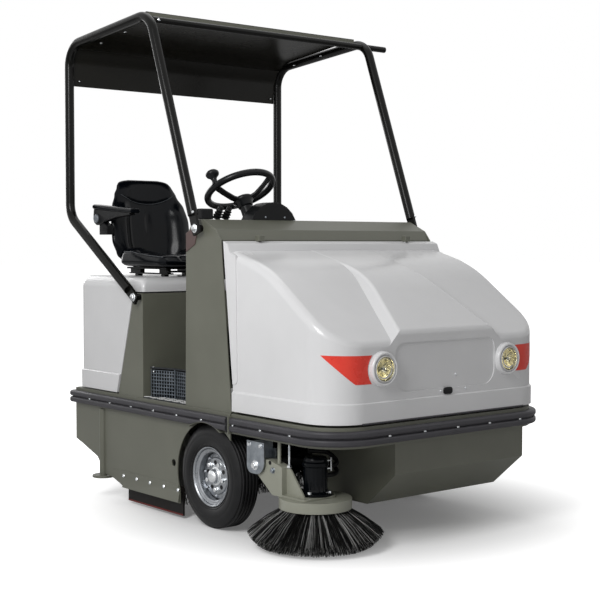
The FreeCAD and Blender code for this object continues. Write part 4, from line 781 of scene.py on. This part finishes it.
def perforated_guard():
    """Two folded panels of sheet with square holes, under a dark rail with two bright screws."""
    low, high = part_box("footwell_guard")
    pitch = 14.5 * MM
    hole = 10.8 * MM
    rim = (pitch - hole) / 2
    bottom = low.z + 1 * MM
    rows = int((high.z - bottom) / pitch)
    corners = [mm(-559, 468, 0), mm(-521, 338, 0), mm(-521, 229, 0)]
    forms = []
    backs = []

    def rectangle(origin, along, left, right, down, up):
        """Corners of an upright rectangle on a panel."""
        corners = ((left, down), (right, down), (right, up), (left, up))
        return [origin + along * a + Vector((0, 0, b)) for a, b in corners]

    for start, end in zip(corners, corners[1:]):
        along = (end - start).normalized()
        away = Vector((-along.y, along.x, 0))
        length = (end - start).length
        columns = int(length / pitch)
        margin = (length - columns * pitch) / 2
        for column in range(columns):
            for row in range(rows):
                left = margin + column * pitch
                down = bottom + row * pitch
                outer = rectangle(start, along, left, left + pitch, down, down + pitch)
                inner = rectangle(
                    start, along, left + rim, left + pitch - rim, down + rim, down + pitch - rim,
                )
                forms.append((outer + inner, ring_faces(2, 4)))
        for left, right in ((0, margin), (length - margin, length)):
            strip = rectangle(start, along, left, right, bottom, bottom + rows * pitch)
            forms.append((strip, [(0, 1, 2, 3)]))
        behind = start + away * 7 * MM
        backs.append((rectangle(behind, along, 0, length, bottom, high.z - 4 * MM), [(0, 1, 2, 3)]))
    mesh = settled("perforated_guard", joined("perforated_guard", forms), [
        ("WELD", {"merge_threshold": 0.2 * MM}), ("SOLIDIFY", {"thickness": 1.2 * MM, "offset": 0.0}),
    ])
    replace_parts(shown("perforated_guard", mesh, guard_zinc, "chassis"), "footwell_guard")
    # Black sheet just behind the panels: painted shade, so that the holes read dark.
    thicken = ("SOLIDIFY", {"thickness": 1 * MM, "offset": 0.0})
    mesh = settled("guard_backing_painted_shade", joined("guard_backing_painted_shade", backs), [thicken])
    shown("guard_backing_painted_shade", mesh, black_plastic, "chassis")
    rail = [(-562, 469), (-522, 339), (-522, 228), (-515, 228), (-515, 341), (-555, 471)]
    softened("guard_rail", [extruded(rail, 2, 612, 619)], 1, dark_steel, "chassis")
    fold = [(-524, 341), (-518, 341), (-518, 333), (-524, 333)]
    softened("guard_fold", [extruded(fold, 2, 490, 612)], 0.8, guard_zinc, "chassis")
    fasteners("guard_screws", pan_screw(3.5), [
        (mm(-556, 452, 619), (-0.3, -0.1, 1)), (mm(-556, 450, 600), (-0.95, -0.29, 0)),
    ])


perforated_guard()


# Bristles

def strand(root, tip, sag, thick):
    """One bristle: a thin three-sided strip with a slight bend; thick is in mm."""
    return tube_form([root, (root + tip) / 2 + sag, tip], [thick, thick, thick * 0.7], 3)


def side_brush_bristles():
    """Thousands of bristles splayed out to the swept circle; the pale ones are painted highlights, glints on
    the dark strands.
    """
    low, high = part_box("side_bristles")
    centre = Vector(((low.x + high.x) / 2, (low.y + high.y) / 2, 0))
    strands = 6400
    glint_share = 0.22
    set_radius, set_width, set_height = 104, 26, 147
    tip_radius, tip_width, tip_height, tip_rise = 206, 56, 6, 50
    dark = []
    glint_strands = []
    for k in range(strands):
        angle = tau * (k + chance.random()) / strands
        layer = chance.random()
        out = polar(1, angle)
        across = Vector((-out.y, out.x, 0))
        root = centre + out * (set_radius + set_width * layer) * MM + Vector((0, 0, set_height * MM))
        lean = chance.gauss(0, 3.5) * MM
        reach = tip_radius + tip_width * layer + chance.uniform(-6, 1.0)
        lift = tip_height + tip_rise * layer ** 1.5 + chance.uniform(0, 6)
        tip = centre + out * reach * MM + across * lean + Vector((0, 0, lift * MM))
        sag = Vector((0, 0, chance.uniform(1, 6) * MM)) + across * chance.gauss(0, 1.0) * MM
        if chance.random() < glint_share:
            glint_strands.append(strand(root, tip, sag, chance.uniform(0.45, 0.8)))
        else:
            dark.append(strand(root, tip, sag, chance.uniform(0.7, 1.2)))
    holder = [(20, 140), (20, 193), (26, 193), (26, 156), (124, 156), (124, 143), (20, 140)]
    dark.append(placed(turned_form(holder, 64), centre))
    brush = assembled("bristle_ring", dark, 60, bristle_plastic, "side_brush")
    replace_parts(brush, "side_bristles")
    assembled("bristle_ring_painted_glints", glint_strands, 60, bristle_painted_glint, "side_brush")


side_brush_bristles()


def cross_brush_bristles():
    """A steel core with rows of bristle tufts that wind into the middle from both ends."""
    low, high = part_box("main_brush")
    middle = (low + high) / 2
    length = (high.x - low.x) / MM
    outer = (high.z - low.z) / 2 / MM
    rows, tufts, tuft_strands = 10, 84, 5
    wind, end_gap, root = 1.2, 12, 66
    core = [(0, -length / 2), (30, -length / 2), (30, 12 - length / 2), (68, 14 - length / 2)]
    core += [(r, -h) for r, h in reversed(core)]
    forms = [placed(turned_form(core, 48), middle, (1, 0, 0))]
    for row in range(rows):
        for tuft in range(tufts):
            share = (tuft + 0.5) / tufts
            angle = tau * row / rows + wind * abs(2 * share - 1)
            along = mm((share - 0.5) * (length - 2 * end_gap), 0, 0)
            for _ in range(tuft_strands):
                turn = angle + chance.gauss(0, 0.05)
                out = Vector((0, cos(turn), sin(turn)))
                tip = middle + along + out * (outer - chance.uniform(0.5, 5)) * MM
                tip.x += max(-9, min(9, chance.gauss(0, 4))) * MM
                forms.append(strand(middle + along + out * root * MM, tip, Vector((0, 0, 0)), 1.3))
    brush = assembled("cross_brush", forms, 50, bristle_plastic, "sweep_roller")
    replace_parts(brush, "main_brush")


cross_brush_bristles()


# Side brush motor

def brush_motor_can():
    """Brush motor: ribbed can on a foot flange, a stepped end bell and a zinc terminal strip."""
    low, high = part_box("brush_motor")
    middle = (low + high) / 2
    steps = 96
    groove = 0.965
    profile = [
        (0, 0), (63, 0), (63.5, 2), (63.5, 9), (61, 12), (52, 13), (48, 17), (46, 24), (46, 60), (46, 108),
        (49, 112), (50, 115), (50, 125), (48, 128), (45, 130), (44, 138), (41, 144), (34, 147.5), (20, 149),
        (0, 149),
    ]
    points, faces = turned_form(profile, steps)
    for point in points:
        place = round(atan2(point.y, point.x) * steps / tau)
        if 20 * MM < point.z < 109 * MM and place % 6 < 2:
            point.x *= groove
            point.y *= groove
    can = placed((points, faces), Vector((middle.x, middle.y, low.z)))
    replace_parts(assembled("motor_can", [can], 25, motor_paint, "side_arm"), "brush_motor")
    softened("motor_terminals", [
        block((-391, -526, 285), (-385, -516, 337)), block((-407, -525, 293), (-390, -517, 299)),
        block((-407, -525, 323), (-390, -517, 329)),
    ], 1.2, bright_steel, "side_arm")


brush_motor_can()


def motor_hoses():
    """Two short rubber hoses, held at both ends, from the motor's ports round to the arm."""
    forms = []
    steps = 32
    for drop in (0, 34):
        stops = [Vector((x, y, z - drop)) for x, y, z in (
            (-408, -503, 300), (-352, -500, 300), (-322, -478, 312), (-326, -424, 338), (-392, -392, 346),
        )]
        runs = len(stops) - 1
        stops = [stops[0], *stops, stops[-1]]
        path = []
        for k in range(steps + 1):
            run = min(k * runs // steps, runs - 1)
            share = k / steps * runs - run
            before, here, after, beyond = stops[run:run + 4]
            bend = here * 2 + (after - before) * share
            bend += (before * 2 - here * 5 + after * 4 - beyond) * share ** 2
            bend += (here * 3 - before - after * 3 + beyond) * share ** 3
            path.append(bend * 0.5 * MM)
        forms.append(tube_form(path, 9, 14))
    assembled("motor_hoses", forms, 50, tyre_rubber, "side_arm")


motor_hoses()


# Screws, bolts and nuts

BUMPER_SIDE = 606
BUMPER_GROOVE = 442
SCREW_STEP = 177

fasteners("hoop_bolts", hex_bolt(24, 9, 18), [
    (mm(side * 616, y, z), (side, 0, 0)) for side in (-1, 1) for y, z in ((50, 1210), (516, 919))
])


def bumper_sides(first, count):
    """Places in the bumper's groove on both sides, from a first Y forward."""
    return [
        (mm(side * BUMPER_SIDE, first - SCREW_STEP * k, BUMPER_GROOVE), (side, 0, 0))
        for side in (-1, 1) for k in range(count)
    ]


fasteners("rear_bumper_screws", pan_screw(6.5), bumper_sides(907, 7) + [
    (mm(SCREW_STEP * k - 442, 1084, BUMPER_GROOVE), (0, 1, 0)) for k in range(6)
])
fasteners("front_bumper_screws", pan_screw(6.5), bumper_sides(-190, 3) + [
    (mm(x, -775, BUMPER_GROOVE), FRONT) for x in (-320, -138, 41, 221, 401)
], "hopper")
fasteners("skirt_band_bolts", pan_screw(8), [
    (mm(side * 590.2, 641 - 107 * k, 125), (side, 0, 0.16)) for side in (-1, 1) for k in range(5)
])
fasteners("roof_screws", pan_screw(6), [
    (mm(side * 560, y, z), (0, -0.2, -1))
    for side in (-1, 1) for y, z in ((470, 2097), (659, 2076), (866, 2053), (1062, 1900))
] + [(mm(x, 384, 2090), FRONT) for x in (-566, 604)])
fasteners("cage_pins", [turned_form([(5, 0), (5, 5), (3.5, 6.5), (0, 6.5)], 16)], [
    (mm(side * 621, 56, 1276), (side * 0.6, -0.8, 0)) for side in (-1, 1)
])
fasteners("brush_carrier_bolts", hex_bolt(13, 7, 9), [(mm(-566, y, 372), RIGHT) for y in (-318, -246)])
fasteners("brush_pivot_nut", hex_bolt(22, 12, 19), [(mm(-566, -282, 294), RIGHT)])
fasteners("motor_bolts", hex_bolt(13, 8, 8), [
    (mm(57 * cos(turn) - 448, 57 * sin(turn) - 503, 209), (0, 0, 1))
    for turn in (3.6, 5.2, 0.6, 2.1)
], "side_arm")
fasteners("brush_arm_bolt", hex_bolt(15, 8, 12), [(mm(-554, -378, 285), RIGHT)], "side_arm", zinc_plate)
# Flat black disc on the arm: painted shade in place of a hole.
fasteners("brush_arm_hole_shade", [turned_form([(8, 0), (8, 0.8), (0, 0.8)], 20)], [
    (mm(-554, -360, 312), RIGHT),
], "side_arm", black_plastic)
fasteners("hood_studs", pan_screw(4.5), [
    (mm(-34, -754, 584), FRONT), (mm(104, -754, 587), FRONT), (mm(52, -750, 644), FRONT),
], "hood")
fasteners("dash_screws", pan_screw(4), [
    (mm(x, 43, 1259), FRONT) for x in (-262, -160)
], surface=zinc_plate)


def lift_rod():
    """Threaded rod that sets the side brush's pressure, with a nut at its foot."""
    foot = mm(-520, -435, 300)
    thread = []
    for turn in range(44):
        thread += [(4.6, turn * 2), (5.6, turn * 2 + 1)]
    forms = [placed(turned_form(thread, 12), foot)] + [placed(part, foot) for part in hex_bolt(17, 9, 12)]
    assembled("lift_rod", forms, 30, bright_steel, "side_arm")


lift_rod()


# Plates, strips and seals

def block_pair(name, across, half, low, high, radius, surface, body):
    """A block on the right and one on the left, across mm from the middle; low and high are (y, z)."""
    for side, hand in HANDS:
        form = block((side * across - half, *low), (side * across + half, *high))
        softened(name + "_" + hand, [form], radius, surface, body)


def plate_pair(name, outline, inner, outer, radius, surface, body):
    """A plate of (y, z) outline on the right and one on the left, inner to outer mm from the middle."""
    for side, hand in HANDS:
        form = extruded(outline, 0, side * inner, side * outer)
        softened(name + "_" + hand, [form], radius, surface, body)


skirt_band = [(209, 74), (646, 78), (748, 108), (760, 126), (738, 146), (215, 146)]
gusset = [(156, 1191), (102, 1217), (74, 1200), (93, 1146), (156, 1115)]
plate_pair("skirt_band", skirt_band, 587.6, 590.4, 1, grey_green_paint, "chassis")
plate_pair("hoop_gusset", gusset, 583.2, 586.4, 0.8, brown_paint, "chassis")
block_pair("bumper_end_plate", 609, 9.5, (-177, 407), (-172, 477), 1, grey_green_paint, "hopper")
# Black block at the bumper break: painted shade standing in for the dark gap between the bumpers.
block_pair("bumper_gap_painted_shade", 608, 9.5, (-172, 412), (-157, 472), 1.5, black_plastic, "hopper")
block_pair("hinge_bar", 407, 15, (-121, 1158), (-93, 1183), 3, grey_green_paint, "hood")
block_pair("flap_seal", 563, 5.5, (213, 14), (641, 21), 0.8, red_rubber, "chassis")
# Front lip of the dark roof sheet, in olive paint that is painted light caught on the edge.
softened("roof_front_strip", [block((-583, 437.5, 2105), (583, 441.5, 2127))], 1, roof_edge_painted_light, "chassis")
seal = tube_form([mm(x, -757, 491) for x in range(-440, 441, 40)], 4, 10)
assembled("hood_edge_seal", [seal], 35, bumper_rubber, "hood")


def hood_lock():
    """Small moulded plate with round corners and a softened rim."""
    width, height, depth, corner = 48, 27, 5, 11
    outline = []
    for x, z, start in ((1, 1, 0), (-1, 1, 90), (-1, -1, 180), (1, -1, 270)):
        for k in range(5):
            angle = radians(start + 22.5 * k)
            across = x * (width / 2 - corner) + corner * cos(angle)
            outline.append((across, z * (height / 2 - corner) + corner * sin(angle)))
    count = len(outline)
    rings = [(1.0, 0.0), (1.0, 0.75), (0.94, 0.95), (0.88, 1.0)]
    points = [mm(a * share, b * share, depth * level) for share, level in rings for a, b in outline]
    faces = [tuple(reversed(range(count))), tuple(range(3 * count, 4 * count))] + ring_faces(4, count)
    plate = placed((points, faces), mm(6, -754, 584), FRONT)
    assembled("hood_lock", [plate], 50, black_plastic, "hood")


hood_lock()


def chequer_lozenges():
    """Raised lozenges of tread plate, set crosswise in turn; the floor under the dash has none."""
    low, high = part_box("tread_floor")
    step = 29 * MM
    dash_line = 170 * MM
    corners = [(-16, 0), (0, -7), (16, 0), (0, 7)]
    base = [mm(a, b, 0) for a, b in corners]
    top = [mm(a * 0.8, b * 0.7, 2.2) for a, b in corners]
    forms = []
    for row in range(int((high.y - low.y - 20 * MM) / step)):
        y = high.y - 12 * MM - row * step
        if y < dash_line:
            break
        for column in range(int((high.x - low.x - 30 * MM) / step)):
            at = Vector((low.x + 14 * MM + column * step, y, high.z))
            spin = Matrix.Rotation(radians(45 if (row + column) % 2 else -45), 3, "Z")
            forms.append(([spin @ point + at for point in base + top], ring_faces(2, 4) + [(4, 5, 6, 7)]))
    # The lozenges' pale paint is partly wear and partly painted highlight.
    assembled("chequer_lozenges", forms, 30, lozenge_wear_and_highlight, "chassis")


chequer_lozenges()


# Head lamps

def head_lamp(name, centre):
    """Fluted gold dish with a bulb behind a clear lens, in a grooved white bezel; gives back the dish."""
    steps = 48
    rings = [(46, 19), (44.5, 21), (42, 20), (38, 17), (34, 13), (28, 2), (18, -8), (10, -13), (5, -14)]
    dish = []
    for r, h in rings:
        for k in range(steps):
            flute = 1 + (0.1 if k % 8 < 3 else -0.05) * (1 if 12 < r < 30 else 0)
            dish.append(polar(r * flute * MM, tau * k / steps, h * MM))
    bulb = [(4, -16), (4, -4), (5.5, 0), (5, 4), (0, 6)]
    bezel = [
        (45.5, 17), (46, 21.5), (47, 22.5), (48.5, 21.5), (49.5, 15), (51.5, 14), (54, 20), (56, 22.5),
        (59, 22.5), (62, 20), (64, 15), (65.5, 7), (66, -8),
    ]
    lens = [(46, 21.4), (42, 22.2), (32, 22.8), (16, 23.2), (0, 23.3)]
    made = []
    for part, form, surface, slot in (
        ("_dish", (dish, ring_faces(len(rings), steps)), lamp_gold, "lamp"),
        ("_bulb", turned_form(bulb, 20), silver_paint, "lamp"),
        ("_bezel", turned_form(bezel, 64), white_cover, "cover_white"),
        ("_lens", turned_form(lens, 48), lens_glass, "lamp"),
    ):
        made.append(assembled(name + part, [placed(form, centre, FRONT)], 60, surface, "hood"))
    return made[0]


LAMP_SIDE = 339
LAMP_BACK = 12
LAMP_DROP = 5
lamp_low, lamp_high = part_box("head_lamps")
dishes = []
for side, hand in HANDS:
    height = (lamp_low.z + lamp_high.z) / 2 - LAMP_DROP * MM
    middle = Vector((side * LAMP_SIDE * MM, lamp_low.y + LAMP_BACK * MM, height))
    dishes.append(head_lamp("lamp_" + hand, middle))
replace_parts(dishes[0], "head_lamps")


# Red film marks on the hood's corners

def film_mark(name, side):
    """Thin red film on a front corner of the hood; its outline is (way round the corner, height) in mm."""
    outline = [
        (73, 745), (259, 741), (250, 724), (244.5, 706), (243, 689), (244.5, 671), (249, 653), (257, 636),
        (200, 637),
    ]
    cell = 3
    skin = BVHTree.FromObject(frame["nodes"]["hood_shell"], bpy.context.evaluated_depsgraph_get())
    round_way = Vector((-side, -1, 0)).normalized()
    inward = Vector((-side, 1, 0)).normalized()
    form = bmesh.new()
    form.faces.new([form.verts.new(Vector((s * MM, 0, z * MM))) for s, z in outline])
    for along, values in (((1, 0, 0), [s for s, z in outline]), ((0, 0, 1), [z for s, z in outline])):
        along = Vector(along)
        cut = min(values) + cell
        while cut < max(values):
            everything = form.verts[:] + form.edges[:] + form.faces[:]
            bmesh.ops.bisect_plane(form, geom=everything, plane_co=along * (cut * MM), plane_no=along)
            cut += cell
    for point in form.verts:
        start = round_way * point.co.x + Vector((0, 0, point.co.z)) - inward * 1.3
        hit, normal = skin.ray_cast(start, inward)[:2]
        point.co = hit + normal * 0.6 * MM
    bmesh.ops.recalc_face_normals(form, faces=form.faces)
    mesh = bpy.data.meshes.new(name)
    form.to_mesh(mesh)
    form.free()
    mesh.shade_smooth()
    shown(name, mesh, red_film, "hood")


for side, hand in HANDS:
    film_mark("red_film_" + hand, side)


# Studio

def studio_floor():
    """Pale seamless floor, 120 m square, whose glow grows outward so that it shows as white; the weaker glow
    near the middle is painted shade under the machine.
    """
    mesh = bpy.data.meshes.new("studio_floor")
    mesh.from_pydata([(-60, -60, 0), (60, -60, 0), (60, 60, 0), (-60, 60, 0)], [], [(0, 1, 2, 3)])
    floor = linked("studio_floor", mesh)
    made = bpy.data.materials.new("matt_white_studio_floor")
    made.use_nodes = True
    tree = made.node_tree
    tree.nodes.clear()
    matt = add(tree, "BsdfDiffuse", {"Color": srgb("#F0F0F0")})
    rays = add(tree, "LightPath").outputs["Is Camera Ray"]
    place = add(tree, "TexCoord").outputs["Object"]
    away = add(tree, "VectorMath", {0: place}, operation="LENGTH").outputs["Value"]
    # Glow seen by the camera: weak within 0.5 m of the middle, which is painted shade under the machine, and
    # full beyond 1.65 m.
    level = add(tree, "MapRange", {
        "Value": away, "From Min": 0.5, "From Max": 1.65, "To Min": 0.12, "To Max": 1.0,
    }, interpolation_type="SMOOTHSTEP").outputs["Result"]
    lift = add(tree, "Math", {0: rays, 1: level}, operation="MULTIPLY")
    glow = add(tree, "Emission", {"Color": (1, 1, 1, 1), "Strength": lift.outputs[0]})
    both = add(tree, "AddShader", {0: matt.outputs[0], 1: glow.outputs[0]})
    add(tree, "OutputMaterial", {"Surface": both.outputs[0]})
    mesh.materials.append(made)


def studio_world():
    """Even light from all round; camera, mirror and glass rays see plain white."""
    world = bpy.data.worlds.new("studio")
    scene.world = world
    world.use_nodes = True
    tree = world.node_tree
    tree.nodes.clear()
    rays = add(tree, "LightPath")
    seen = rays.outputs["Is Camera Ray"]
    for kind in ("Is Glossy Ray", "Is Transmission Ray"):
        seen = add(tree, "Math", {0: seen, 1: rays.outputs[kind]}, operation="MAXIMUM").outputs[0]
    strength = add(tree, "MapRange", {"Value": seen, "To Min": 0.27, "To Max": 1.0})
    light = add(tree, "Background", {"Color": (1, 1, 1, 1), "Strength": strength.outputs["Result"]})
    add(tree, "OutputWorld", {"Surface": light.outputs[0]})


def soft_box(name, place, target, width, height, power):
    """Rectangular lamp that points at a target."""
    lamp = bpy.data.lights.new(name, "AREA")
    lamp.shape = "RECTANGLE"
    lamp.size = width
    lamp.size_y = height
    lamp.energy = power
    stand = linked(name, lamp)
    stand.location = place
    stand.rotation_euler = (Vector(target) - Vector(place)).to_track_quat("-Z", "Y").to_euler()


studio_floor()
studio_world()
soft_box("key_from_the_right_side", (-3.3, -1.3, 2.7), (0, -0.2, 0.8), width=1.0, height=2.0, power=85)
soft_box("top_light", (0.3, 0.9, 4.6), (0, 0.1, 0.8), width=2.4, height=2.4, power=24)
soft_box("fill_from_behind", (-0.4, 5.4, 2.4), (0, 1.0, 0.7), width=2.4, height=2.4, power=60)


# Camera, solved from the wheels and the frame in the photograph

CAMERA_PLACE = (-3.5304, -4.1702, 1.1458)
CAMERA_TURN = radians(39.35)
CAMERA_DIP = radians(2.5)
CAMERA_LENS = 76.4
CAMERA_SENSOR = 36.0


def photograph_view():
    """Camera at the photograph's place; it turns from +Y to the model's left and dips a little."""
    camera = linked("camera", bpy.data.cameras.new("camera"))
    camera.location = CAMERA_PLACE
    level = cos(CAMERA_DIP)
    ahead = Vector((sin(CAMERA_TURN) * level, cos(CAMERA_TURN) * level, -sin(CAMERA_DIP)))
    camera.rotation_euler = ahead.to_track_quat("-Z", "Y").to_euler()
    camera.data.lens = CAMERA_LENS
    camera.data.sensor_width = CAMERA_SENSOR
    scene.camera = camera


photograph_view()
scene.view_settings.view_transform = "Standard"
